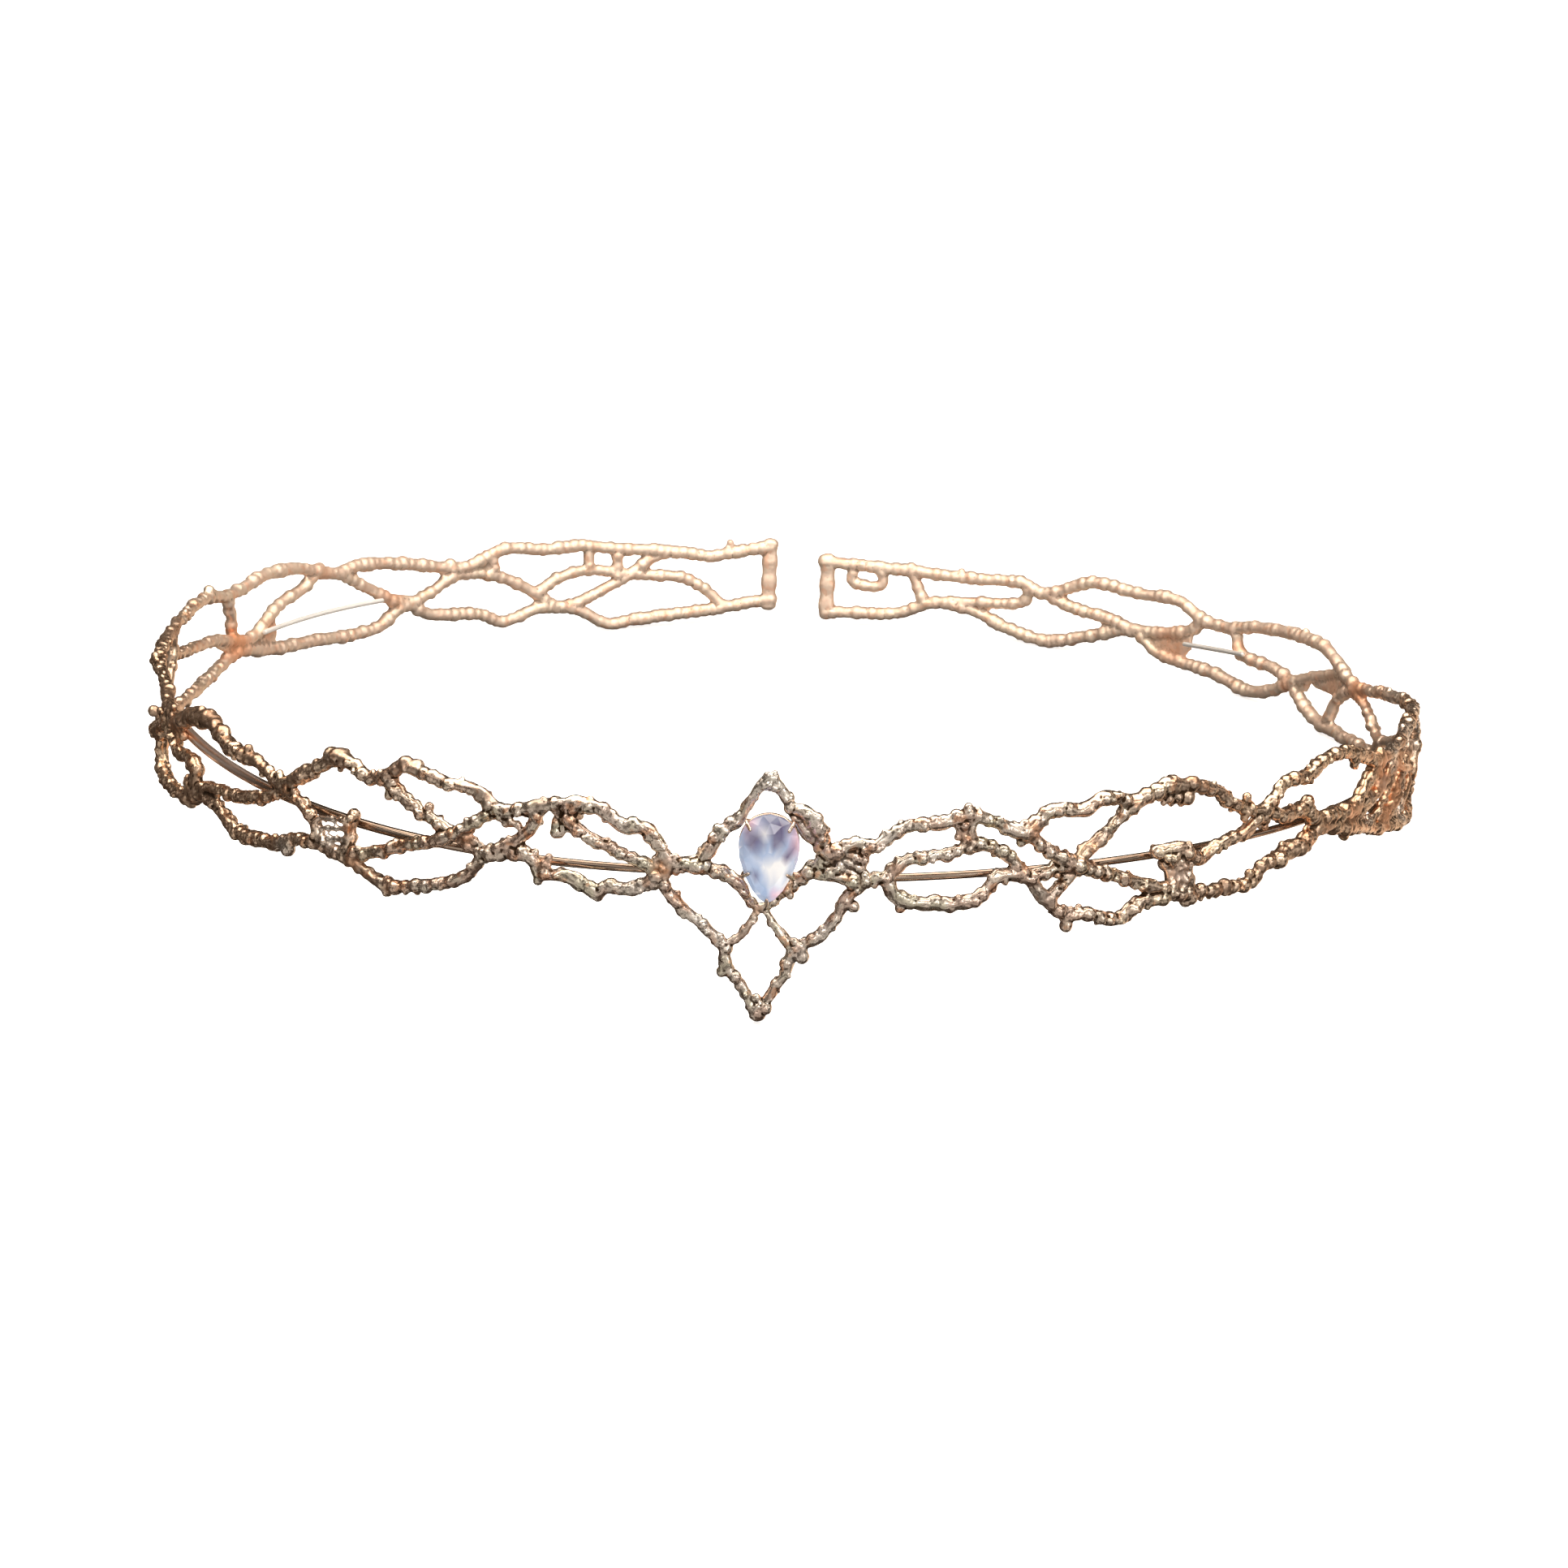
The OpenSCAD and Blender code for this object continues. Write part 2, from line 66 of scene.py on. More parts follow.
# The camera, in the band's frame: degrees, millimetres, and pixels of the photo
camera = {
    "elevation": 14.4,
    "azimuth": 0.85,
    "roll": 2.5,
    "distance": 375.0,
    "focalPixels": 3750.0,
    "framePixels": 1932.0,
    "target": (0.66, 0.0, -10.4),
}


def placeCamera():
    # it looks back along its own +Z from a distance, and its picture turns clockwise by the roll
    elevation, azimuth, roll = (math.radians(camera[k]) for k in ("elevation", "azimuth", "roll"))
    back = Vector((math.sin(azimuth) * math.cos(elevation), -math.cos(azimuth) * math.cos(elevation),
        math.sin(elevation)))
    level = Vector((0, 0, 1)).cross(back).normalized()
    up = back.cross(level)
    across = math.cos(roll) * level + math.sin(roll) * up
    upright = math.cos(roll) * up - math.sin(roll) * level
    place = Vector(camera["target"]) + camera["distance"] * back
    data = bpy.data.cameras.new("photoCamera")
    data.sensor_width = 36
    data.lens = camera["focalPixels"] / camera["framePixels"] * data.sensor_width
    data.clip_start, data.clip_end = 0.01, 20
    seen = bpy.data.objects.new("photoCamera", data)
    bpy.context.scene.collection.objects.link(seen)
    seen.rotation_mode = "QUATERNION"
    axes = Matrix((across, upright, back)).transposed()
    seen.rotation_quaternion = (turned @ axes).to_quaternion()
    seen.location = Vector(toFloor(np.array(place)))
    bpy.context.scene.camera = seen


placeCamera()
print("camera placed")

# Each light is a flat soft box: place, aim and size in metres
lights = {
    "overhead": {"at": (0.1, 0.35, 0.8), "aim": (0, 0, 0), "size": (0.3, 0.2), "watts": 0.15,
        "colour": (1.0, 0.98, 0.95)},
    "frontHigh": {"at": (0.25, -0.7, 0.5), "aim": (0, 0, 0), "size": (0.24, 0.2), "watts": 0.55,
        "colour": (1.0, 0.97, 0.93)},
    "frontRight": {"at": (0.6, -0.6, 0.25), "aim": (0, 0, 0), "size": (0.2, 0.3), "watts": 0.6,
        "colour": (1.0, 0.98, 0.96)},
    "nearCamera": {"at": (0.12, -0.9, 0.42), "aim": (0, 0, 0), "size": (0.3, 0.2), "watts": 0.3,
        "colour": (1.0, 0.97, 0.93)},
    "backFill": {"at": (0.0, -0.01, 0.15), "aim": (0, 0.075, 0), "size": (0.3, 0.2), "watts": 0.56,
        "colour": (1.0, 0.88, 0.76)},
    "backdrop": {"at": (0.0, 1.4, 1.0), "aim": (0, 3.2, 0.8), "size": (3.0, 0.6), "watts": 30.0,
        "colour": (1.0, 1.0, 1.0)},
}


def addLight(name, settings):
    # the box faces along its own -Z, which is turned towards the aim
    data = bpy.data.lights.new(name, "AREA")
    data.shape = "RECTANGLE"
    data.size, data.size_y = settings["size"]
    data.energy = settings["watts"]
    data.color = settings["colour"]
    lamp = bpy.data.objects.new(name, data)
    lamp.location = settings["at"]
    lamp.rotation_mode = "QUATERNION"
    lamp.rotation_quaternion = (Vector(settings["aim"]) - Vector(settings["at"])).to_track_quat("-Z", "Y")
    bpy.context.scene.collection.objects.link(lamp)


for lightName, lightSettings in lights.items():
    addLight(lightName, lightSettings)


class Shade:
    # One socket of a material: sums of sockets and numbers add their Math nodes
    def __init__(self, tree, socket=None):
        self.tree = tree
        self.socket = socket

    def node(self, kind, settings=None, inputs=None, output=0):
        # a node of any kind: its settings first, then the values or links of its sockets
        made = self.tree.nodes.new(kind)
        for key, value in (settings or {}).items():
            setattr(made, key, value)
        for key, value in (inputs or {}).items():
            if isinstance(value, Shade):
                self.tree.links.new(value.socket, made.inputs[key])
            else:
                made.inputs[key].default_value = value
        return Shade(self.tree, made.outputs[output])

    def maths(self, operation, *terms):
        # a Math node on sockets and numbers
        return self.node("ShaderNodeMath", {"operation": operation}, dict(enumerate(terms)))

    def __add__(self, other):
        return self.maths("ADD", self, other)

    __radd__ = __add__

    def __sub__(self, other):
        return self.maths("SUBTRACT", self, other)

    def __rsub__(self, other):
        return self.maths("SUBTRACT", other, self)

    def __mul__(self, other):
        return self.maths("MULTIPLY", self, other)

    __rmul__ = __mul__

    def between(self, low, high):
        # 0 below low, 1 above high, and a smooth step from one to the other
        return self.node("ShaderNodeMapRange", {"interpolation_type": "SMOOTHSTEP"},
            {"Value": self, "From Min": low, "From Max": high})

    def blend(self, first, second):
        # the second colour where this mask is 1
        return self.node("ShaderNodeMix", {"data_type": "RGBA"}, {0: self, 6: first, 7: second}, 2)


def newMaterial(name, uniform):
    # a Principled material whose unchanging values are set on its own sockets
    made = bpy.data.materials.new(name)
    made.use_nodes = True
    tree = made.node_tree
    shader = tree.nodes["Principled BSDF"]
    for key, value in uniform.items():
        shader.inputs[key].default_value = value
    return made, Shade(tree), shader


def paint(shader, **varying):
    # joins what changes over the surface to the shader's sockets
    names = {"colour": "Base Color", "roughness": "Roughness", "normal": "Normal"}
    for key, value in varying.items():
        value.tree.links.new(value.socket, shader.inputs[names[key]])


def throughRows(rows, step):
    # a cubic through the rows: its slope at a row is the chord between that row's neighbours
    p = np.array([(list(row) + [0.0])[:3] for row in rows], float)
    chord = np.linalg.norm(np.diff(p, axis=0) * [arcPerDegree, 1, 1], axis=1)
    slope = np.empty_like(p)
    slope[1:-1] = (p[2:] - p[:-2]) / (chord[:-1] + chord[1:])[:, None]
    slope[0] = (p[1] - p[0]) / chord[0]
    slope[-1] = (p[-1] - p[-2]) / chord[-1]
    reached = np.concatenate([[0], np.cumsum(chord)])
    course = np.linspace(0, reached[-1], max(4, int(round(reached[-1] / step)) + 1))
    i = np.clip(np.searchsorted(reached, course, side="right") - 1, 0, len(chord) - 1)
    t = ((course - reached[i]) / chord[i])[:, None]
    h = chord[i][:, None]
    return (p[i] * (2 * t**3 - 3 * t**2 + 1) + slope[i] * h * (t**3 - 2 * t**2 + t)
        + p[i + 1] * (3 * t**2 - 2 * t**3) + slope[i + 1] * h * (t**3 - t**2))


def onBand(path, side):
    # a row's angle turns it round Z, its lift adds to the radius, and its height is its Z
    angle = np.radians(side * path[:, 0])
    outs = np.stack([np.sin(angle), -np.cos(angle), np.zeros(len(path))], 1)
    centres = outs * (band["radius"] + path[:, 2:3])
    centres[:, 2] = path[:, 1]
    return centres, outs


def endToEnd(stretches):
    # each stretch begins with the row where the last one ends
    return stretches[0] + [row for stretch in stretches[1:] for row in stretch[1:]]


def latticeNoise(points, cell, seed):
    # random heights at the corners of cubes, eased from corner to corner, from 0 to 1
    q = points / cell
    low = np.floor(q)
    f = q - low
    f = f * f * (3 - 2 * f)
    low = low.astype(np.int64)
    total = np.zeros(len(points))
    for corner in np.ndindex(2, 2, 2):
        share = np.prod(np.where(np.array(corner) == 1, f, 1 - f), axis=1)
        total += share * scatter(low + corner, seed)
    return total


def scatter(cells, seed):
    # an even spread of numbers from 0 to 1, one for each whole-numbered cell
    key = cells[:, 0] * 73856093 ^ cells[:, 1] * 19349663 ^ cells[:, 2] * 83492791 ^ seed * 2654435
    key = (key ^ (key >> 13)) * 1274126177 & 0xFFFFFFFF
    key = (key ^ (key >> 16)) * 2246822519 & 0xFFFFFFFF
    return (key ^ (key >> 15)) % 1000003 / 1000003


def pebbles(points, cell, size, seed):
    # domes of the given size round one random point in each cube: 1 on a dome's top, 0 between
    low = np.floor(points / cell).astype(np.int64)
    nearest = np.full(len(points), 9.0)
    for near in np.ndindex(3, 3, 3):
        cube = low + np.array(near) - 1
        spot = np.stack([scatter(cube, seed + k) for k in range(3)], 1)
        nearest = np.minimum(nearest, np.linalg.norm((cube + spot) * cell - points, axis=1))
    return np.sqrt(np.clip(1 - (nearest / size) ** 2, 0, 1))


def gridFaces(rings, sides):
    # the squares of a tube whose rings have that many points each
    a = np.arange(rings - 1)[:, None] * sides + np.arange(sides)
    b = np.arange(rings - 1)[:, None] * sides + (np.arange(sides) + 1) % sides
    return np.stack([a, b, b + sides, a + sides], -1).reshape(-1, 4)


def sweepTube(centres, outs, radii):
    # each ring is the centre plus (out cos turn + across sin turn) times the radius at that turn
    along = np.gradient(centres, axis=0)
    along /= np.linalg.norm(along, axis=1)[:, None]
    across = np.cross(along, outs)
    across /= np.linalg.norm(across, axis=1)[:, None]
    out = np.cross(across, along)
    sides = radii.shape[1]
    turn = np.linspace(0, 2 * np.pi, sides, endpoint=False)
    spokes = out[:, None] * np.cos(turn)[:, None] + across[:, None] * np.sin(turn)[:, None]
    points = (centres[:, None] + spokes * radii[:, :, None]).reshape(-1, 3)
    last = (len(centres) - 1) * sides
    ends = [list(range(sides))[::-1], [last + k for k in range(sides)]]
    return points, gridFaces(len(centres), sides), ends


# How far along its quarter circle each ring of a rounded end stands
capSteps = np.array([0.25, 0.5, 0.72, 0.88, 0.98])
capRings = len(capSteps)


def roundedEnds(centres, outs, radius):
    # the path runs on by its radius at both ends, and the scale there falls as a quarter circle
    first = (centres[0] - centres[1]) / np.linalg.norm(centres[0] - centres[1])
    last = (centres[-1] - centres[-2]) / np.linalg.norm(centres[-1] - centres[-2])
    before = centres[0] + first * radius * capSteps[::-1, None]
    after = centres[-1] + last * radius * capSteps[:, None]
    fall = np.sqrt(1 - capSteps**2)
    scale = np.concatenate([fall[::-1], np.ones(len(centres)), fall])
    outs = np.concatenate([np.repeat(outs[:1], capRings, 0), outs, np.repeat(outs[-1:], capRings, 0)])
    return np.concatenate([before, centres, after]), outs, scale


# Every cast ball has this many levels from pole to pole and points on a ring
ball = {"levels": 8, "sides": 10}


def ballTemplate():
    # a unit ball: rings of points from pole to pole
    sides = ball["sides"]
    polar = np.linspace(0, np.pi, ball["levels"])[1:-1]
    turn = np.linspace(0, 2 * np.pi, sides, endpoint=False)
    ring = np.stack(np.broadcast_arrays(np.sin(polar)[:, None] * np.cos(turn),
        np.sin(polar)[:, None] * np.sin(turn), np.cos(polar)[:, None]), -1).reshape(-1, 3)
    last = (len(polar) - 1) * sides
    return ring, gridFaces(len(polar), sides), [list(range(sides))[::-1], [last + k for k in range(sides)]]


def balls(centres, radii):
    # the same ball at each centre, scaled by its own radius
    ring, squares, ends = ballTemplate()
    points = (centres[:, None] + ring * radii[:, None, None]).reshape(-1, 3)
    starts = np.arange(len(centres)) * len(ring)
    faces = (squares[None] + starts[:, None, None]).reshape(-1, 4)
    return points, faces, [[int(start) + k for k in end] for start in starts for end in ends]


def joined(parts):
    # several surfaces as one list of points and one of faces
    points, faces, start = [], [], 0
    for partPoints, squares, ends in parts:
        points.append(partPoints)
        faces += (squares + start).tolist()
        faces += [[start + k for k in end] for end in ends]
        start += len(partPoints)
    return np.concatenate(points), faces


def fused(parts, voxel, rounds):
    # one skin of small squares round all the parts, eased a little, with its edges and normals
    points, faces = joined(parts)
    rough = bpy.data.meshes.new("rough")
    rough.from_pydata(points.tolist(), [], faces)
    holder = bpy.data.objects.new("rough", rough)
    bpy.context.scene.collection.objects.link(holder)
    skin = holder.modifiers.new("skin", "REMESH")
    skin.mode = "VOXEL"
    skin.voxel_size = voxel
    ease = holder.modifiers.new("ease", "SMOOTH")
    ease.factor, ease.iterations = 0.5, rounds
    graph = bpy.context.evaluated_depsgraph_get()
    made = bpy.data.meshes.new_from_object(holder.evaluated_get(graph))
    bpy.data.objects.remove(holder)
    bpy.data.meshes.remove(rough)
    out = largestPart(readMesh(made))
    bpy.data.meshes.remove(made)
    return out


def readMesh(mesh):
    # the points, the corners of the squares, the edges and the normals, as arrays
    points = np.empty(len(mesh.vertices) * 3)
    mesh.vertices.foreach_get("co", points)
    corners = np.empty(len(mesh.loops), np.int64)
    mesh.loops.foreach_get("vertex_index", corners)
    edges = np.empty(len(mesh.edges) * 2, np.int64)
    mesh.edges.foreach_get("vertices", edges)
    normals = np.empty(len(mesh.vertices) * 3)
    mesh.vertices.foreach_get("normal", normals)
    return {"points": points.reshape(-1, 3), "faces": corners.reshape(-1, 4),
        "edges": edges.reshape(-1, 2), "normals": normals.reshape(-1, 3)}


def largestPart(skin):
    # labels spread along the edges, each the least of its neighbours', until every part has one
    first, second = skin["edges"].T
    label, before = np.arange(len(skin["points"])), None
    while before is None or np.any(label != before):
        before = label.copy()
        np.minimum.at(label, first, before[second])
        np.minimum.at(label, second, before[first])
        label = label[label]
    kept = label == np.bincount(label).argmax()
    place = np.cumsum(kept) - 1
    return {"points": skin["points"][kept], "normals": skin["normals"][kept],
        "faces": place[skin["faces"][kept[skin["faces"][:, 0]]]],
        "edges": place[skin["edges"][kept[skin["edges"][:, 0]]]]}


def neighbourMean(values, edges):
    # the mean of each point's neighbours along the edges, one column of values at a time
    count = np.bincount(edges.ravel(), minlength=len(values))
    total = [np.bincount(edges[:, 0], column[edges[:, 1]], len(values))
        + np.bincount(edges[:, 1], column[edges[:, 0]], len(values)) for column in values.T]
    return np.stack(total, 1) / count[:, None]


def hollows(skin, gain):
    # how far a point lies under its neighbours' mean: 0.5 where flat, 1 in creases, 0 on bumps
    pull = neighbourMean(skin["points"], skin["edges"]) - skin["points"]
    depth = np.sum(pull * skin["normals"], axis=1)[:, None]
    for _ in range(2):
        depth = (depth + neighbourMean(depth, skin["edges"])) / 2
    return np.clip(0.5 + gain * depth[:, 0], 0, 1)


def addPiece(name, points, faces, material, attributes=None, smooth=True):
    # a finished piece at the origin, with its place in its mesh
    mesh = bpy.data.meshes.new(name)
    mesh.from_pydata(toFloor(points).tolist(), [], faces)
    mesh.validate()
    mesh.polygons.foreach_set("use_smooth", np.full(len(mesh.polygons), smooth))
    for key, values in (attributes or {}).items():
        mesh.attributes.new(key, "FLOAT", "POINT").data.foreach_set("value", values)
    mesh.materials.append(material)
    mesh.update()
    piece = bpy.data.objects.new(name, mesh)
    bpy.context.scene.collection.objects.link(piece)
    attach(piece, "root")
    return piece


# The cast metal: champagne and rose in patches, copper on a few knots, and brown in the creases;
# painted shade darkens the temples and some spots, and painted light pales the back and other spots
castGoldLook = {
    "champagne": (0.84, 0.73, 0.63),
    "rose": (0.8, 0.61, 0.51),
    "olive": (0.72, 0.68, 0.53),
    "copper": (0.9, 0.46, 0.25),
    "sienna": (0.8, 0.55, 0.37),  # painted shade: what the champagne becomes at the temples, darker and redder
    "peach": (0.95, 0.78, 0.65),  # painted light: what it becomes round the back, paler
    # the next two are painted light on the pale spots and painted shade on the dark spots
    "pale": (0.96, 0.9, 0.84),
    "paintedShade": (0.3, 0.19, 0.13),
    "creaseBrown": (0.07, 0.04, 0.022),
    # the most that each covers
    "oliveShare": 0.7,
    "shadedSiennaShare": 0.8,
    "litPeachShare": 0.7,
    "fleckShare": 0.6,
    # where each begins and where it is full: levels of its noise, or metres from the middle
    "roseEdges": (0.48, 0.6),
    "oliveEdges": (0.34, 0.46),
    "fleckEdges": (0.58, 0.68),
    "creaseEdges": (0.5, 0.72),
    "paintedShadeEdges": (0.3, 0.5),
    "grainEdges": (0.4, 0.7),
    "shadedSiennaEdges": (0.015, 0.065),  # sideways
    "backEdges": (-0.015, 0.035),  # towards the back
    # scales of the noises, in 1/m
    "patch": 420.0,
    "flecks": 700.0,
    "grain": 2600.0,
    "grainDepth": 0.00004,
    "creaseGrain": 0.3,  # how much the grain breaks up a crease
    # the share of a crease's brown that goes round the back and on the pale and copper spots;
    # round the back and on the pale spots this is painted light
    "creaseBrownCut": {"back": 0.6, "pale": 0.7, "warm": 0.85},
    "polish": 0.22,  # the least roughness, and what each of these adds
    "rougher": {"creases": 0.3, "grain": 0.12, "back": 0.36, "warm": 0.15, "paintedShade": 0.15},
}


def castGoldMaterial():
    # champagne, rose and olive patches, sienna as painted shade at the temples, peach as painted light
    # round the back, copper; then copper spots, pale spots of painted light and dark ones of painted shade,
    # and last the brown of the creases; it is rougher in creases, round the back and on spots
    look = castGoldLook
    material, s, shader = newMaterial("castGold", {"Metallic": 1.0})
    place = s.node("ShaderNodeTexCoord", output=3)
    hollow, warm, pale, paintedShade = (s.node("ShaderNodeAttribute", {"attribute_name": name}, output=2)
        for name in ("hollow", "warm", "pale", "paintedShade"))
    patch, grain, flecks = (s.node("ShaderNodeTexNoise", {},
        {"Vector": place, "Scale": look[name], "Detail": detail})
        for name, detail in (("patch", 2.0), ("grain", 2.0), ("flecks", 1.0)))
    across = s.maths("ABSOLUTE", s.node("ShaderNodeSeparateXYZ", {}, {0: place}, 0))
    behind = s.node("ShaderNodeSeparateXYZ", {}, {0: place}, 1).between(*look["backEdges"])
    layers = (
        ("olive", look["oliveShare"] * (1 - patch.between(*look["oliveEdges"]))),
        # painted shade at the temples
        ("sienna", look["shadedSiennaShare"] * across.between(*look["shadedSiennaEdges"]) * (1 - behind)),
        # painted light round the back
        ("peach", look["litPeachShare"] * behind),
        ("copper", look["fleckShare"] * flecks.between(*look["fleckEdges"]) * (1 - 0.5 * behind)),
        ("copper", warm),
        # painted light on the pale spots
        ("pale", pale),
        # painted shade on the dark spots
        ("paintedShade", paintedShade * grain.between(*look["paintedShadeEdges"])),
    )
    metal = patch.between(*look["roseEdges"]).blend((*look["champagne"], 1), (*look["rose"], 1))
    for name, mask in layers:
        metal = mask.blend(metal, (*look[name], 1))
    dark = (hollow + look["creaseGrain"] * (grain - 0.5)).between(*look["creaseEdges"])
    # less brown round the back and on the pale spots is painted light
    for name, mask in (("back", behind), ("pale", pale), ("warm", warm)):
        dark = dark * (1 - look["creaseBrownCut"][name] * mask)
    colour = dark.blend(metal, (*look["creaseBrown"], 1))
    roughness = look["polish"]
    for name, mask in (("creases", dark), ("grain", grain.between(*look["grainEdges"])),
            ("back", behind), ("warm", warm), ("paintedShade", paintedShade)):
        roughness = roughness + look["rougher"][name] * mask
    normal = s.node("ShaderNodeBump", {}, {"Strength": 0.5, "Distance": look["grainDepth"],
        "Height": grain})
    paint(shader, colour=colour, roughness=roughness, normal=normal)
    return material


castGold = castGoldMaterial()

# Where the copper shows, each [angle, height, reach, strength], with angles to the left below 0
warmSpots = [
    [-7.6, -0.5, 1.5, 0.8], [-16.9, -1.3, 1.1, 0.8], [-19.6, 2.3, 0.9, 0.8], [-23.4, 0.2, 1.4, 0.8],
    [-30.5, -6.6, 1.2, 0.7], [-34.3, -5, 1.5, 0.8], [-35.3, -1.6, 1.2, 0.8], [-37, -2.4, 1.8, 0.35],
    [-62.2, 1.8, 2.2, 0.7], [-60, -3.6, 1.6, 0.4], [-107, -0.8, 4.2, 0.75], [-113, -0.2, 2.2, 0.5],
    [-122, 5.4, 2.4, 0.4], [-132, 1.4, 3, 0.45], [1.6, -1.6, 1.2, 0.8], [-0.3, -4.2, 0.9, 0.5],
    [7.4, -0.9, 1, 0.5], [10.2, 0.5, 1, 0.6], [15.4, 3.6, 1.6, 0.35], [20.6, 3.9, 1.4, 0.7],
    [24.3, 0.2, 1.3, 0.6], [25.5, 1.6, 2, 0.35], [34.4, -2, 1.8, 0.6], [41, 2.4, 2, 0.3],
    [52, -0.6, 2.4, 0.35], [57, -0.6, 3, 0.55], [63.3, 2.6, 4, 0.9], [66, -2, 4, 0.8], [69, 0.5, 4.5, 0.9],
    [77, 0, 6, 0.4], [85, -2, 8, 0.3], [95, 1, 6, 0.35], [102.5, 1.2, 3.6, 0.7], [108.5, 0, 2.6, 0.4],
    [117, -2.2, 1.8, 0.7], [135, -1.2, 4, 0.4], [125.5, 0.5, 1.6, 0.6]
]
# Painted light: where the metal is nearly white, written the same way
litPaleSpots = [
    [0.2, 8.2, 3.2, 0.8], [-2.8, 4.6, 2.4, 0.5], [-4, -5.6, 3.4, 0.6], [-1.4, -12, 2.6, 0.35],
    [3.7, 4.9, 2.2, 0.7], [4.6, -5.4, 3, 0.5], [2.8, -8.6, 1.4, 0.6], [6.2, 1.2, 1.6, 0.3],
    [9.6, 3.4, 2, 0.6], [-11.5, 4, 2, 0.5], [-9.5, -2.4, 2.4, 0.4], [12.6, 1.6, 1.6, 0.5],
    [19, 4.6, 1.2, 0.5], [-27, -5.6, 2, 0.4], [-20.4, 5, 1.5, 0.5], [-36.8, -2.2, 2.6, 0.9],
    [-42.4, -5.6, 1.8, 0.8], [34.7, -2.2, 2.2, 0.5], [22, -2.4, 2, 0.4], [61, -1, 2, 0.5],
    [72, 5, 3, 0.7], [73, -3.5, 4, 0.7], [79, 3.8, 5, 0.6], [84, -3.4, 5, 0.5], [63.6, 1.4, 2, 0.35],
    [67, 4, 3, 0.5], [92, 1, 8, 0.5]
]
# Painted shade: where the metal is dark brown, written the same way
paintedShadeSpots = [
    [-17.5, 5, 1.6, 0.6], [-22, 4.6, 2, 0.5], [-22.4, 1, 1.5, 0.6], [-26, -1.2, 1.3, 0.7],
    [-29, 6.2, 3, 0.5], [-33, 0, 1.6, 0.7], [-32.5, -6, 2, 0.5], [-36, 5.6, 3, 0.6],
    [-41, 3.8, 2.5, 0.5], [-47, 4, 3, 0.6], [-54, 5.6, 4, 0.85], [-59, 4.8, 3.5, 0.85],
    [-63, 3.4, 4, 0.8], [-70, 2.4, 4, 0.55], [-80, 4.8, 4, 0.4], [-90, 6, 4, 0.6],
    [-87.3, -3.9, 2.5, 0.9], [-50.5, -3.4, 2.2, 0.7], [-58, -4.2, 4, 0.6], [-65, -3, 2.5, 0.6],
    [22, -3, 2, 0.5], [24, 2.8, 2, 0.5], [30, 5.4, 2, 0.35], [35, 7, 3, 0.6], [39, -4.8, 3, 0.6],
    [44, -4.4, 3, 0.7], [48, -3.2, 3, 0.7], [52, -1.8, 3, 0.5], [48, 4.2, 2, 0.55],
    [-1.6, -13, 2, 0.3], [-1.3, -6.4, 1.6, 0.4]
]

# The twigs: a core with twisted bark, cast beads that stand half out of it, and small grains
bark = {
    "core": 0.78,  # the core's share of a twig's thickness
    "step": 0.25,
    "sides": 18,
    "knuckles": 0.2,  # how much a knuckle thickens the twig
    "knuckleLength": 2.1,
    "ridges": 0.07,
    "ridgeTurn": 3.4,  # length over which the bark's ridges go once round
    "roughness": 0.16,
    "roughSize": 0.7,
    "joint": 1.18,  # a joint's ball against the core
    "pebbleHeight": 0.05,
    "pebbleLeast": 0.35,  # the share of its height that every pebble has
    "pebbleSpacing": 0.62,
    "pebbleSize": 0.4,
    "pebblePatch": 4.0,  # how wide the stretches are where pebbles stand higher or lower
    "sunk": 0.02,  # how far the skin is drawn in between them
    "calm": 0.3,  # the back's share of the bumps
    "creases": 5.0,  # how strongly a hollow counts as a crease
}
# Spacing is in millimetres; a ball's radius and its distance off the twig's axis are shares of half a twig
beads = {"spacing": (0.95, 1.45), "radius": (0.8, 1.06), "offAxis": (0.05, 0.38)}
grains = {"spacing": (0.45, 1.3), "radius": (0.34, 0.5), "offAxis": (0.62, 0.86)}
# Where the twigs are thicker, each [angle, height, reach, extra share], with angles to the left below 0
swells = [
    [-30, 6, 5, 0.15], [-36, 5.4, 5, 0.25], [-40.5, 2.8, 4, 0.22], [-49, 3, 5, 0.25], [-56, 4.6, 8, 0.45],
    [-61, 3.4, 5, 0.2], [-46, -5.6, 7, 0.15], [-58, -4.6, 7, 0.25], [-66, -2, 7, 0.25], [13, 4.8, 3, 0.15],
    [20.4, 3.9, 3, 0.2], [25, 1.5, 5, 0.22], [34, 6.6, 5, 0.2], [47.5, -2.2, 7, 0.35], [55, 0, 6, 0.15],
    [56, -1.4, 5, 0.15], [62, 3, 6, 0.15], [66, -3, 6, 0.15], [-0.3, 7, 7, -0.35], [0, -11, 7, -0.25],
    [-4, -5, 5, -0.22], [5, -5, 5, -0.22], [0, -2.5, 5, -0.2], [0, -4.2, 3.5, -0.25],
    [68, 0, 9, -0.25], [30, 1, 12, 0.1], [52, 1, 12, 0.12]
]
# The share that is added everywhere, and the further share round the back, which fades in from a place
everywhere = {"front": 0.18, "back": 0.32, "backFrom": 5.0, "fade": 30.0}


def backShare(centres):
    # 0 round the front and the sides, 1 behind, and a smooth step between
    share = np.clip((centres[:, 1] - everywhere["backFrom"]) / everywhere["fade"], 0, 1)
    return share * share * (3 - 2 * share)


def swollen(centres):
    # 1 plus the general shares, plus each spot's, which fades to its reach as half a cosine wave
    spots = np.array(swells)
    places, _ = onBand(np.column_stack([spots[:, :2], np.zeros(len(spots))]), 1)
    away = np.linalg.norm(centres[:, None] - places, axis=2) / spots[:, 2]
    local = (spots[:, 3] * (0.5 + 0.5 * np.cos(np.pi * np.clip(away, 0, 1)))).sum(1)
    return 1 + everywhere["front"] + everywhere["back"] * backShare(centres) + local


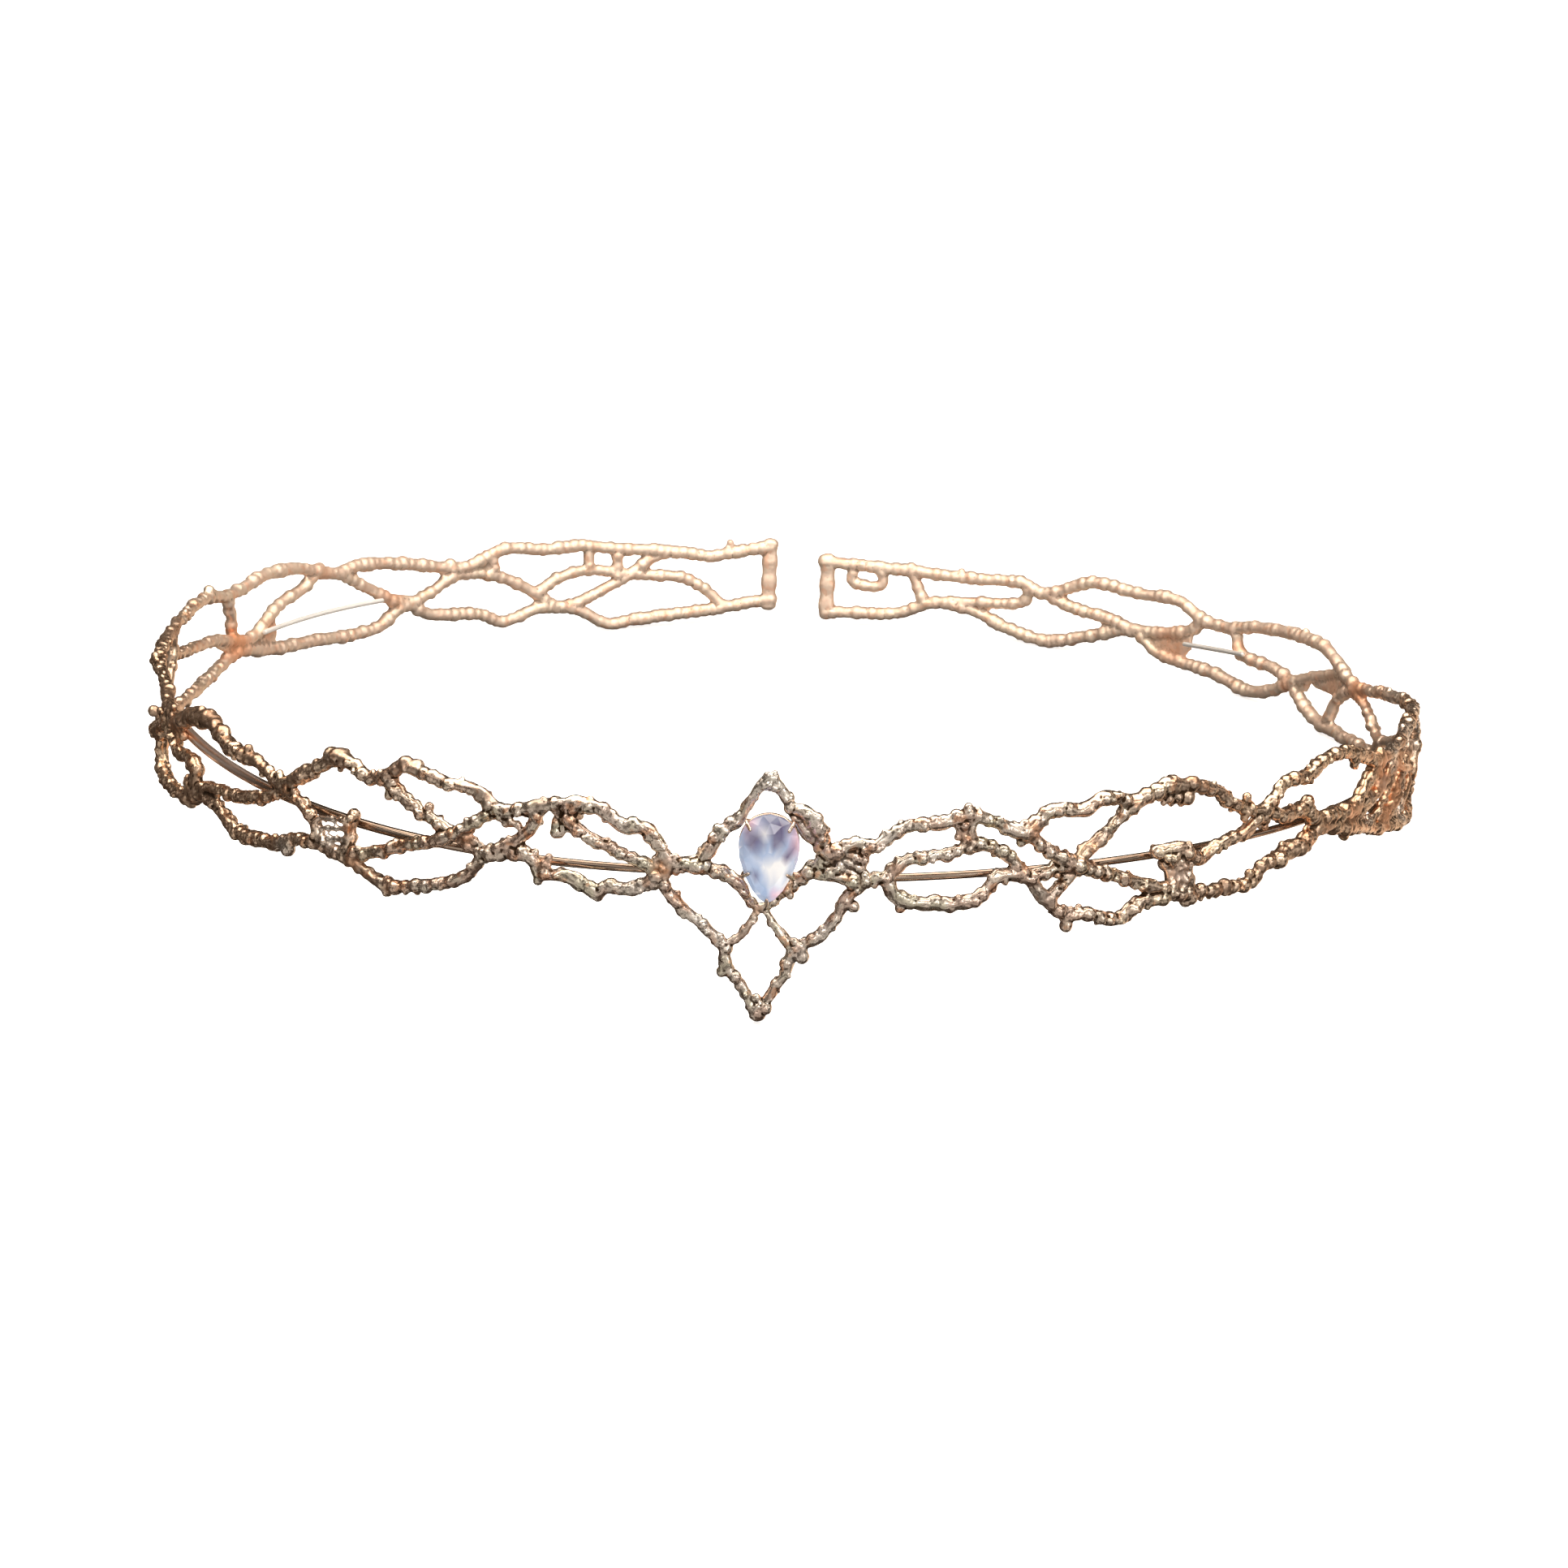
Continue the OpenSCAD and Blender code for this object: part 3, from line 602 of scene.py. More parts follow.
def twigParts(rows, side, thickness, draw, reach=None):
    # radius = half the core times its knuckles, its twisted ridges and its rough bark
    path = throughRows(rows, bark["step"])
    if reach is not None:
        path = path[(path[:, 0] >= reach[0]) & (path[:, 0] <= reach[1])]
        if len(path) < 4:
            return []
    centres, outs = onBand(path, side)
    half = thickness / 2 * bark["core"]
    centres, outs, ends = roundedEnds(centres, outs, half)
    course = np.arange(len(centres)) * bark["step"]
    turn = np.linspace(0, 2 * np.pi, bark["sides"], endpoint=False)
    start = draw.uniform(0, 50)
    swell = latticeNoise(np.stack([course + start] * 3, 1), bark["knuckleLength"], 5)
    knuckle = bark["knuckles"] * (swell**2 * 2 - 0.5)
    twist = 2 * np.pi * course / bark["ridgeTurn"] + start
    ridge = bark["ridges"] * np.sin(3 * turn + twist[:, None])
    spokes = centres[:, None] + half * np.stack([np.cos(turn), np.sin(turn), np.zeros(len(turn))], 1)
    rough = latticeNoise(spokes.reshape(-1, 3), bark["roughSize"], 3).reshape(ridge.shape)
    thick = swollen(centres)
    calm = 1 + (bark["calm"] - 1) * backShare(centres)
    bumps = calm[:, None] * (knuckle[:, None] + ridge + bark["roughness"] * (rough - 0.5))
    radii = half * (ends * thick)[:, None] * (1 + bumps)
    tips = [capRings, -capRings - 1]
    joints = balls(centres[tips], half * bark["joint"] * thick[tips])
    outer = thickness / 2 * thick
    return [sweepTube(centres, outs, radii), joints, ballsOn(centres, outs, outer, calm, beads, draw),
        ballsOn(centres, outs, outer, calm, grains, draw)]


def ballsOn(centres, outs, half, calm, kind, draw):
    # balls at random distances along a twig and random turns round it, nearer its axis where it is calm
    low, high = kind["spacing"]
    length = len(centres) * bark["step"]
    course = np.cumsum(draw.uniform(low, high, int(length / low) + 1))
    course = course[course < length - bark["step"]]
    i = (course / bark["step"]).astype(int)
    along = np.gradient(centres, axis=0)[i]
    along /= np.linalg.norm(along, axis=1)[:, None]
    across = np.cross(along, outs[i])
    turn = draw.uniform(0, 2 * np.pi, len(i))[:, None]
    radius = half[i] * draw.uniform(*kind["radius"], len(i))
    away = (outs[i] * np.cos(turn) + across * np.sin(turn)) * (half * calm)[i, None]
    return balls(centres[i] + away * draw.uniform(*kind["offAxis"], (len(i), 1)), radius)


# A bud's balls: each one's place between foot and tip, and its size against half the thickness
bud = {"places": [0.0, 0.5, 0.85], "sizes": [1.0, 0.95, 1.1]}


def budPart(row, side):
    # three balls from a bud's foot on the twig to its tip, the last one the largest
    angle, height, tipAngle, tipHeight, thickness, lift = row
    path = np.array([[angle, height, min(0, lift)], [tipAngle, tipHeight, lift]])
    share = np.array(bud["places"])[:, None]
    centres, _ = onBand(path[0] * (1 - share) + path[1] * share, side)
    return balls(centres, thickness / 2 * np.array(bud["sizes"]))


# A heap of balls: how close they lie, how proud the middle stands, how fast it falls, and their sizes
heap = {"closeness": 0.85, "proud": 0.45, "fall": 0.4, "size": 0.9, "spread": 0.25}


def clusterPart(row, side):
    # balls packed like a sunflower's seeds: the k-th stands off by the root of k, turned by k golden angles
    angle, height, count, radius, wide = row
    k = np.arange(count)
    turn = k * np.pi * (3 - np.sqrt(5)) + height
    reach = heap["closeness"] * radius * np.sqrt(k)
    spots = np.stack([angle + wide * reach * np.cos(turn) / arcPerDegree,
        height + reach * np.sin(turn) / wide, heap["proud"] - heap["fall"] * reach], 1)
    centres, _ = onBand(spots, side)
    return balls(centres, radius * (heap["size"] + heap["spread"] * np.sin(5 * k)))


# The little ring's wire, which is a ring of round sections
loopWire = {"radius": 0.34, "steps": 33, "sides": 12}


def loopPart(row, side):
    # a little ring that stands on the band's surface
    angle, height, wide, high = row
    turn = np.linspace(0, 2 * np.pi, loopWire["steps"])
    path = np.stack([angle + wide * np.cos(turn) / arcPerDegree, height + high * np.sin(turn),
        np.zeros(len(turn))], 1)
    centres, outs = onBand(path, side)
    return sweepTube(centres, outs, np.full((len(turn), loopWire["sides"]), loopWire["radius"]))


# A web's thickness, and its rings as [scale of its corners, share of half the thickness]
web = {"thickness": 0.8, "rings": [(0.7, -1), (1, -0.6), (1, 0.6), (0.7, 1)]}


def webPart(corners, side):
    # the flat solder between joints: the corners once inside and once outside, with a raised middle
    flat = np.array([(list(row) + [0.0])[:3] for row in corners])
    rings = []
    for scale, lift in web["rings"]:
        ring = flat.mean(0) * (1 - scale) + flat * scale
        ring[:, 2] += lift * web["thickness"] / 2
        rings.append(onBand(ring, side)[0])
    count = len(corners)
    last = (len(rings) - 1) * count
    ends = [list(range(count))[::-1], [last + k for k in range(count)]]
    return np.concatenate(rings), gridFaces(len(rings), count), ends


# The upright bar that closes each half at the back
endBar = {"width": 2.2, "thickness": 1.6, "squareness": 2.6, "steps": 30, "sides": 24, "waviness": 0.08,
    "waveTurn": 2.1}


def endBarPart(bar, side):
    # its section is a rounded oblong: |x/a| and |y/b|, each to a power, add up to 1
    angle, low, high = bar
    heights = np.linspace(low, high, endBar["steps"])
    path = np.stack([np.full(len(heights), angle), heights, np.zeros(len(heights))], 1)
    centres, outs = onBand(path, side)
    centres, outs, ends = roundedEnds(centres, outs, endBar["thickness"] / 2)
    turn = np.linspace(0, 2 * np.pi, endBar["sides"], endpoint=False)
    power = endBar["squareness"]
    oblong = ((np.abs(np.cos(turn)) / (endBar["thickness"] / 2)) ** power
        + (np.abs(np.sin(turn)) / (endBar["width"] / 2)) ** power) ** (-1 / power)
    swell = 1 + endBar["waviness"] * np.sin(heights * endBar["waveTurn"])
    swell = np.concatenate([np.full(capRings, swell[0]), swell, np.full(capRings, swell[-1])])
    return sweepTube(centres, outs, oblong[None] * (ends * swell)[:, None])


def spotShare(points, spots):
    # a spot's strength over its inner third, then evenly less, and 0 from its reach outwards
    spots = np.array(spots)
    centres, _ = onBand(np.column_stack([spots[:, :2], np.zeros(len(spots))]), 1)
    share = np.zeros(len(points))
    for centre, reach, strength in zip(centres, spots[:, 2], spots[:, 3]):
        away = np.linalg.norm(points - centre, axis=1) / reach
        share = np.maximum(share, strength * np.clip(1.5 - 1.5 * away, 0, 1))
    return share


def twigPiece(name, parts, voxel, rounds, nodeName):
    # the parts fused, then pebbled: each point moves out along its normal by the pebbles' height
    skin = fused(parts, voxel, rounds)
    dome = pebbles(skin["points"], bark["pebbleSpacing"], bark["pebbleSize"], 11)
    where = latticeNoise(skin["points"], bark["pebblePatch"], 8)
    height = bark["pebbleHeight"] * dome * (bark["pebbleLeast"] + where)
    skin["points"] = skin["points"] + skin["normals"] * (height - bark["sunk"])[:, None]
    marks = {"hollow": hollows(skin, bark["creases"] / voxel)}
    # the copper spots, the pale spots of painted light and the dark spots of painted shade
    for kind, spots in (("warm", warmSpots), ("pale", litPaleSpots), ("paintedShade", paintedShadeSpots)):
        marks[kind] = spotShare(skin["points"], spots)
    piece = addPiece(name, skin["points"], skin["faces"].tolist(), castGold, marks)
    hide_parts(nodeName)
    print(name, "made:", len(skin["faces"]) * 2, "triangles")


# Each row of a twig is [angle from the front, height, lift], in degrees and millimetres
# Lift is how far the twig stands outside the band's middle, and 0 where it is left out
leftCrest = [
    # over the first leaf
    [[5, 0], [7, 0.3], [8, 2.1], [8.9, 3.4], [10.7, 3.5], [13.2, 5.3], [16.2, 4.9], [20.8, 3.6]],
    # the second leaf, as far as the first waist
    [[20.8, 3.6], [22.5, 5.1], [25.8, 5.6], [29.5, 6.4], [31.2, 5], [33, 4.5], [36.1, 5.9],
        [38, 4.5], [42, 1.6], [43.5, 1.2]],
    # along the temple
    [[43.5, 1.2], [46.5, 2.5], [51.3, 3.2], [53.8, 4.5], [57, 4.7], [63.5, 2], [67, 2.6, -0.5],
        [74, 3.8, -0.9], [80, 4.6, -0.4], [90, 5.3], [101.5, 6.8]],
    # round to the back
    [[101.5, 6.8], [104.5, 6], [108.2, 6.1], [112.8, 7.1], [118, 7], [124.4, 5.2], [127, 5.8],
        [131.4, 5.6], [136, 4.7], [141.5, 3.8]],
    # the last stretch to the end bar
    [[141.5, 3.8], [146.5, 6], [151.4, 5.6], [155.3, 6], [160, 5.4], [166, 5], [170.4, 4.3],
        [173, 5], [177, 5.8]]
]

leftKeel = [
    # under the first leaf
    [[7.8, -1.4], [9.7, -2.8], [12, -3], [12.6, -3.6], [15, -2.3], [17.3, -2.4], [18, -0.8],
        [21.8, -1.2]],
    # the second leaf
    [[21.8, -1.2], [23.4, -3.7], [26, -5.2], [31.1, -6.5], [35, -4.9], [40.6, -4.1]],
    # the third leaf, which turns back up at its end
    [[40.6, -4.1], [43.4, -5.5], [49.6, -6], [53.8, -4.3], [56, -3.8], [60, -5.5], [67.7, -5.8],
        [69.8, -4], [69, -0.5], [67, 1]],
    # along the temple
    [[67, 1], [72, -1.5], [77, -3.2], [83, -4.4], [90, -4.9], [97.3, -4.6], [103.4, -3.1],
        [108, -2], [112.8, -2.9], [120, -3.4], [129.9, -3.4], [134, -0.6]],
    # round to the end bar
    [[134, -0.6], [137.2, -2.4], [143.5, -3.1], [146.5, -4.5], [151, -2.8], [155.2, -3.3],
        [159, -5.6], [162, -5], [169.7, -3.7], [177, -1.9]]
]

leftBranches = [
    [[8.5, -0.4], [11.3, 0.9], [14.9, 3.3], [15, 4.6]],
    [[17.2, 4.4], [18.4, 1.6], [20.3, -0.1], [21.8, -1.1], [23, -0.9], [25.1, 0.6], [28.7, 2.5],
        [31.5, 4.8]],
    [[21.3, 3.5], [23.8, 1, 0.5], [26, -0.6, 0.5], [29.6, -2], [32, -3.3], [36, -4.4]],
    [[35.3, -0.5, -0.9], [35.1, -4.6]],
    [[38.3, -4.1], [39.2, -1.6], [42.8, 0.7], [44, -0.3], [48.3, -1.9], [54, -2.6], [58.5, -4.4]],
    [[42.6, 0.6], [43.5, 1.2]],
    [[58, -4.2], [58, -1.2], [63, -1], [66.5, 1]],
    [[90, 5], [90.5, 2.4], [88.5, -1.4], [88, -4.7]],
    [[90.5, 2.2], [95.4, 1.3], [103.4, 0.6], [110, -0.8], [115.4, 2.7], [119.3, 4.1], [121.5, 6]],
    [[105, 5.9], [106.4, 3.2], [107.4, 0, 0.5], [109, -2]],
    [[125, 5.1], [129.2, 2.3], [134, -0.4], [137.5, 0.8], [140.3, 2.7], [145.3, 2.3],
        [150, -0.4], [152.5, -2.7]],
    [[140.3, 2.7], [140, 4]],
    [[145.3, 2.4], [145, 5.2]],
    [[150.5, -0.8], [152.7, 1.2], [156.4, 2.4], [160.9, 1.7], [167, 1.2], [169.2, 0], [172, -3]],
    [[156.5, 5.7], [156.6, 2.4]],
    [[159.8, 5.4], [159.9, 1.6]],
    [[153.5, -2.9], [155.5, -2.2], [161, 1.4], [163, 3.4], [165.5, 5]]
]

rightCrest = [
    # over the first leaf
    [[5, 2], [7.2, 3], [8.2, 2.7], [10.8, 4.8], [13.6, 5.1], [15.4, 5.9], [17.9, 5], [20.1, 4]],
    # the second leaf, as far as the first waist
    [[20.1, 4], [22.5, 6.1], [25, 5.8], [27, 7.1], [29.8, 6.3], [32.6, 7.5], [37.5, 6.5],
        [39.8, 4.6], [42.6, 3.3], [43.7, 3.3]],
    # along the temple
    [[43.7, 3.3], [46.4, 5.8], [48.9, 5.8], [53, 7.3], [57.8, 6.2], [64, 4.2], [72, 5.2, 0.2],
        [78, 5.6, 0.4], [87, 4.4, 0.4], [96, 2.8, 0.2], [104, 1.4]],
    # round to the back
    [[104, 1.4], [107, 2.5], [111.2, 4.4], [116.1, 4.7], [123.4, 3.9], [127, 2.9], [131, 3],
        [134.5, 4.9], [139.9, 4.8]],
    # the last stretch to the end bar
    [[139.9, 4.8], [145.8, 5.2], [151.5, 2.6], [154.5, 3.7], [160, 3.4], [168, 3.7],
        [176.5, 4.1]]
]

rightKeel = [
    # under the first leaf
    [[7.8, -0.8], [9.3, -0.6], [10.2, -2.4], [13, -3.2], [16.7, -2.7], [18.2, -0.6],
        [20.4, -0.7]],
    # the second leaf
    [[20.4, -0.7], [22.1, -3], [24, -4.9], [26, -5.1], [28.5, -6.1], [30.2, -4.9], [33.6, -4.2],
        [38.4, -4.5], [43.1, -4.4]],
    # along the temple
    [[43.1, -4.2], [43.7, -3.1], [46.6, -2.3], [50.3, -1.1], [51.5, -0.2], [56.5, -1.5],
        [64.5, -3.8], [75, -6, 0.5], [86, -6, 0.5], [97, -5.5], [106, -5.8], [111.7, -5.4], [115.2, -3.4],
        [116.5, -1.9]],
    # round to the end bar
    [[116.5, -1.9], [119.8, -3.8], [124, -5], [128.5, -4], [136.8, -3], [140.2, -0.6],
        [145.1, -2.2], [151, -4.2], [156, -3.1], [159.5, -1.4], [164, -0.6], [168.5, -2.7],
        [176.5, -3.3]]
]

rightBranches = [
    [[9.6, -0.4], [10.7, 1.2], [13.7, 1.9], [16.8, 2.7], [19.2, 1.2], [20.4, -0.7]],
    [[15.7, 5.8], [15.8, 2.6]],
    [[20.3, 3.9], [22.6, 1.6, 0.5], [24.8, 0.2, 0.5], [28.4, -1.4], [32.1, -3.1], [34.8, -4.2]],
    [[20.4, -0.7], [24.2, 0.3], [26.6, 2.6], [29.5, 6]],
    [[24.6, 0], [24.2, -1], [22.6, -3]],
    [[33.6, 0, -0.9], [34, -3.9]],
    [[35.5, -0.8, -0.9], [35.8, -4.4]],
    [[32.6, 0.3, -0.9], [34.7, 0.7], [36.4, -0.9], [38.2, 0.3], [41.6, 1.3], [43.4, 3.2]],
    [[43.9, 3.1], [46.3, 2.1], [49.7, 2], [50.5, 0.9], [54, 0.4], [58, 0.2], [64, 1], [70, 3.2],
        [75, 5.4]],
    [[50.4, 1], [51.5, -0.2]],
    [[57.8, 0.2], [61, 2.8], [63.5, 4.3]],
    [[64.5, -3.8], [70, -1], [76, 1], [84, 0.4], [91, -1.8], [96, -3.5], [97.5, -5.4]],
    [[79, 5.5, 0.4], [81, 2, 0.9], [80.5, -2, 0.9], [82, -6, 0.5]],
    [[96, -3.5], [98, -2.5], [100, -1], [104, 1]],
    [[104, 0.8], [107, -0.8], [108.3, -2.3], [109.8, -5.4]],
    [[116.5, -1.7], [114.2, -0.6], [108.5, 1.7], [107, 2.4]],
    [[126.3, 2.9], [125.1, -0.2], [119.9, -0.8], [117, -1.7]],
    [[131.2, 2.8], [132.5, 1.3], [136.5, 0], [140.4, -0.3], [144, 0.6], [148.7, 1.3], [151, 2.5]],
    [[153.5, 3.4], [153.6, 1.6], [154.8, 0.6], [159.6, 0], [164, -0.6]],
    [[165.6, -0.7], [167, 3.6]],
    [[170.5, 3.9], [170.4, 1.2], [173.6, 1.4], [173.6, 3.9]]
]

# A bud's row is [angle, height, angle of the tip, height of the tip, thickness, lift of the tip]
leftBuds = [[16, 4.4, 16, 1.6, 1.2, 0], [17.4, -2.4, 17.4, -3.3, 1, 0],
    [12.5, -3.4, 12.5, -4.2, 1, 0], [27, 1.7, 27, 2.8, 1, 0], [30.9, 3.9, 30.9, 2.8, 1, 0],
    [31, -6.3, 31, -7.5, 1, 0], [42.3, -5, 42.3, -5.9, 1.6, 0], [47.9, 2.6, 47.9, 3.8, 1, 0],
    [56.4, 4.6, 56.4, 5.6, 1, 0], [59, -5.2, 59, -6, 1.2, 0], [87, -4.6, 87.3, -3.9, 1.4, 1.8],
    [101.5, 6.8, 101.5, 7.6, 1.4, 0], [172.5, 4.8, 172.5, 6.6, 1, 0]]

rightBuds = [[10.6, -2.8, 10.6, -3.7, 1.1, 0], [15.5, 5.8, 15.5, 6.8, 1, 0],
    [24.2, -5, 24.2, -6.4, 1.3, 0], [34.5, 6.9, 34.5, 6, 1.6, 0.4],
    [35.4, -4.3, 35.4, -5.3, 1.2, 0], [41.4, 4, 41.4, 5.2, 1, 0],
    [42.4, -4.2, 42.4, -3.3, 1, 0], [49.6, 2.1, 49.6, 3, 1.5, 0],
    [56.5, -1.6, 56.5, -2.7, 1.2, 0], [57.3, 6.3, 57.3, 5, 1, 0], [81, 0.5, 81, 1.2, 1.6, 1.3],
    [115, 4.6, 115, 5.6, 1, 0], [145.8, 5, 145.8, 5.8, 1.2, 0], [161.4, 3.4, 161.4, 4.4, 1, 0]]

# Thin rungs between the branches, written as twigs are
leftRungs = [
    [[38.4, -1.3], [35.4, -0.7]],
    [[38.5, -2.4], [35.3, -1.7]],
    [[38.3, -3.5], [35.2, -2.8]]
]
# Each end bar is [angle, lowest height, highest height]
leftBar = [177, -2.7, 6.4]
rightBar = [176.5, -3.7, 4.6]

# Heaps of cast balls, each [angle, height, balls, radius of a ball, how much wider than high]
leftClusters = [
    [20.8, 3.5, 7, 0.46, 1], [14.6, 4.6, 7, 0.46, 1.2], [19.6, 2.6, 5, 0.44, 1],
    [16.8, -1.2, 5, 0.42, 1], [21.8, -1, 7, 0.46, 1], [23.4, 0.3, 7, 0.46, 1.1],
    [34.8, -4.5, 7, 0.44, 1], [35.2, -0.8, 5, 0.42, 1], [37.6, -3.6, 6, 0.42, 1.2],
    [41.8, -5, 6, 0.42, 1.4], [43.4, 1.2, 9, 0.46, 1.2], [41, 0.2, 6, 0.44, 1],
    [36, 5.2, 7, 0.44, 1.3], [53.4, -3.9, 7, 0.46, 1.2], [59, -3.6, 14, 0.48, 1.4],
    [62.6, 1.8, 16, 0.5, 1.3], [64.4, 3, 7, 0.5, 1], [69.6, 0.6, 8, 0.48, 0.8],
    [73, -1.8, 9, 0.5, 1.2], [79, 4.6, 9, 0.5, 1.3], [90, 5, 9, 0.5, 1.4], [101, 6.6, 6, 0.46, 1.2]
]
rightClusters = [
    [20.3, 3.9, 9, 0.48, 1], [20.4, -0.8, 5, 0.42, 1.2], [15.2, 4.9, 7, 0.46, 1.4],
    [15.4, 3.5, 8, 0.46, 1], [24.2, 0.2, 6, 0.42, 1.2], [29.3, 5.8, 8, 0.44, 1.2],
    [31.6, 6.7, 7, 0.44, 1.2], [33.6, 6.3, 14, 0.46, 1.3], [33.7, -0.3, 5, 0.42, 1],
    [34.8, -1.2, 9, 0.44, 1.2], [35, -2.7, 7, 0.44, 0.9], [34.8, -4.2, 7, 0.44, 1.2],
    [41.3, 3.4, 6, 0.44, 1], [43.4, 2.5, 10, 0.46, 0.9], [49.6, 2, 7, 0.46, 1],
    [51.4, -0.3, 6, 0.44, 1], [54.6, -0.7, 8, 0.44, 1.6], [58, -0.4, 8, 0.46, 1.2],
    [57.2, 5.7, 6, 0.44, 1], [63.2, 4.6, 7, 0.5, 1.1], [63.5, 1.2, 4, 0.72, 1.4],
    [69.5, -1, 5, 0.6, 1], [65.4, -2.6, 12, 0.5, 1.2], [61.4, -2.4, 9, 0.46, 1.4],
    [67, 1.2, 12, 0.5, 1], [70.5, 3.6, 9, 0.5, 1], [72, -0.4, 9, 0.5, 1],
    [74.8, 5.3, 10, 0.5, 1.3], [78, 1.5, 8, 0.5, 1], [82, -5.8, 7, 0.5, 1.3],
    [88, 4.2, 7, 0.5, 1.3]
]
# The little ring, as [angle, height, half width, half height]
leftLoops = [[15.8, 2.7, 0.5, 0.95]]
# The flat solder between joints, as corners written like a twig's rows
leftWebs = [
    [[104.1, 0.7], [110.4, -0.8], [111.9, -2], [106.5, -2.2], [103, -0.3]],
    [[111.9, 1.3], [114.5, 1.2], [114.8, -0.9], [114.4, -2.6], [111.2, -2.4], [111, 0.2]],
    [[124.6, 5.4], [121, 6.2], [120.6, 5], [124.6, 4.4]],
    [[135.6, 0.4], [130.4, 1.6], [133.6, -1.2], [136, -0.9]],
    [[140.6, 4.2], [145.4, 5], [145.6, 2.4], [140.4, 2.6]]
]
rightWebs = [
    [[33.2, -0.2, -0.7], [36, -0.9, -0.7], [36.2, -4, -0.4], [33.8, -3.8, -0.4]],
    [[52.5, 0.5], [60, 0.2], [60.5, -2], [53, -1.2]],
    [[137.8, -0.4], [132.3, 1.1], [132.4, -1.4], [133.2, -2.5], [136.9, -3], [138.1, -2.1]],
    [[117.5, -2], [113.2, -0.5], [113.9, -2.3], [116.5, -2.8]],
    [[113.2, -0.7], [108.6, 1.5], [106, 1.6], [105.7, -0.5], [108.2, -1.2], [112.2, -1.3]],
    [[106, 1.2], [98.1, 2.6], [101.8, 0.5], [103.7, -0.5], [105.7, -0.3]]
]
# The strands woven between the twigs at the right temple, written like the branches
rightWeave = [
    [[59, -0.8, 0.3], [63.5, 1.4, 0.5], [67, 3.6, 0.3], [71, 3.2, 0]],
    [[60, 0.4, -0.3], [64, -1.6, -0.5], [68, -3.6, -0.3], [72, -4.4, 0]],
    [[61.5, -2.2, 0.3], [65.5, 0.2, 0.5], [69, 2.2, 0.3], [73, 4.2, 0]],
    [[62.5, 3, 0.3], [66, 1, -0.5], [70, -1.4, -0.5], [75, -3.8, 0]],
    [[65.5, 4.2, 0], [70, 1.6, 0.5], [75, 0.2, 0.5], [81, -2.2, 0.3], [85, -5.2, 0]],
    [[67, -4, 0], [71, -1.6, 0.5], [76, 0.4, -0.4], [80.5, 1, -0.2], [85, 0.2, 0], [88.5, -1, 0]],
    [[72.5, 2.4, 0], [76, -1.2, -0.5], [80.5, -4.8, 0]],
    [[74.5, -4.8, 0], [77, -2.8, 0.5], [80, -0.8, 0.3], [83.5, 0.4, 0]]
]
# The three pieces of each half, each with its reach in degrees from the front and its grid's width
halfCuts = {"Front": (7.75, 50, 0.16), "Side": (49.8, 95, 0.18), "Back": (94.8, 180, 0.22)}

# What each half is made of, and the solid that it dresses
halves = {
    "leftTwigBand": {"side": left, "node": "left_twig_band", "seed": 21,
        "twig": [endToEnd(leftCrest), endToEnd(leftKeel)], "branch": leftBranches, "rung": leftRungs,
        "buds": leftBuds, "clusters": leftClusters, "loops": leftLoops, "webs": leftWebs,
        "bar": leftBar},
    "rightTwigBand": {"side": right, "node": "right_twig_band", "seed": 22,
        "twig": [endToEnd(rightCrest), endToEnd(rightKeel)], "branch": rightBranches,
        "strand": rightWeave, "buds": rightBuds, "clusters": rightClusters, "webs": rightWebs,
        "bar": rightBar},
}


def halfBandPieces(name, half):
    # each piece takes its reach of the twigs, and the small parts whose first angle lies in it
    side = half["side"]
    for end, (low, high, voxel) in halfCuts.items():
        draw = np.random.default_rng(half["seed"])
        parts = []
        for kind in ("twig", "branch", "strand", "rung"):
            for rows in half.get(kind, []):
                parts += twigParts(rows, side, band[kind], draw, (low, high))
        for kind, make in (("buds", budPart), ("clusters", clusterPart), ("loops", loopPart)):
            parts += [make(row, side) for row in half.get(kind, []) if low <= row[0] < high]
        parts += [webPart(corners, side) for corners in half["webs"] if low <= corners[0][0] < high]
        if half["bar"][0] < high:
            parts.append(endBarPart(half["bar"], side))
        twigPiece(name + end, parts, voxel, 1, half["node"])


for halfName, halfTables in halves.items():
    halfBandPieces(halfName, halfTables)

# The motif at the front, written as the halves are, with angles to the left below 0
motifTwigs = [
    # the arch over the stone
    [[-5, 0, -0.4], [-4, 1.9, -0.7], [-3.05, 3.7, -0.7], [-2, 4.8, -0.7], [-1, 7.2, -0.4],
        [0.3, 9.5, 0], [1.5, 7.5, -0.4], [2.8, 4.6, -0.7], [3.5, 3.6, -0.7], [5, 2, -0.3]],
    # the leaf on the arch's right leg
    [[2.2, 6.2, -0.4], [3.3, 6, 0.1], [4.2, 4.4, 0.2], [4.3, 2.8, -0.3]],
    # the strand that passes under the stone
    [[-5, 0, -0.4], [-3, -0.7, -0.7], [-1.6, -1.9, -0.7], [-0.9, -3.4, -0.7], [0, -4.1, -0.7],
        [1.1, -3.1, -0.7], [2.2, -1.5, -0.7], [3.5, -0.2, -0.7], [5, 1.8, -0.3]],
    # the hanging point
    [[-7.8, -1.4], [-7, -3], [-5.8, -4.5], [-4, -6.4], [-2.8, -8], [-2.3, -10.5],
        [-1.3, -11.8], [-0.7, -13.3], [0.1, -14.9], [0.8, -13.4], [1.3, -12.1], [2.1, -10.5],
        [2.6, -8.1], [4.3, -6.8], [5.7, -4.7], [6.4, -2.8], [7.6, -0.9]],
    # the knots where the band begins
    [[-5, 0, -0.4], [-6.4, 0.1], [-7.8, -1.4]],
    [[3.5, -0.2, -0.7], [5.5, -0.4], [7.6, -0.9]]
]
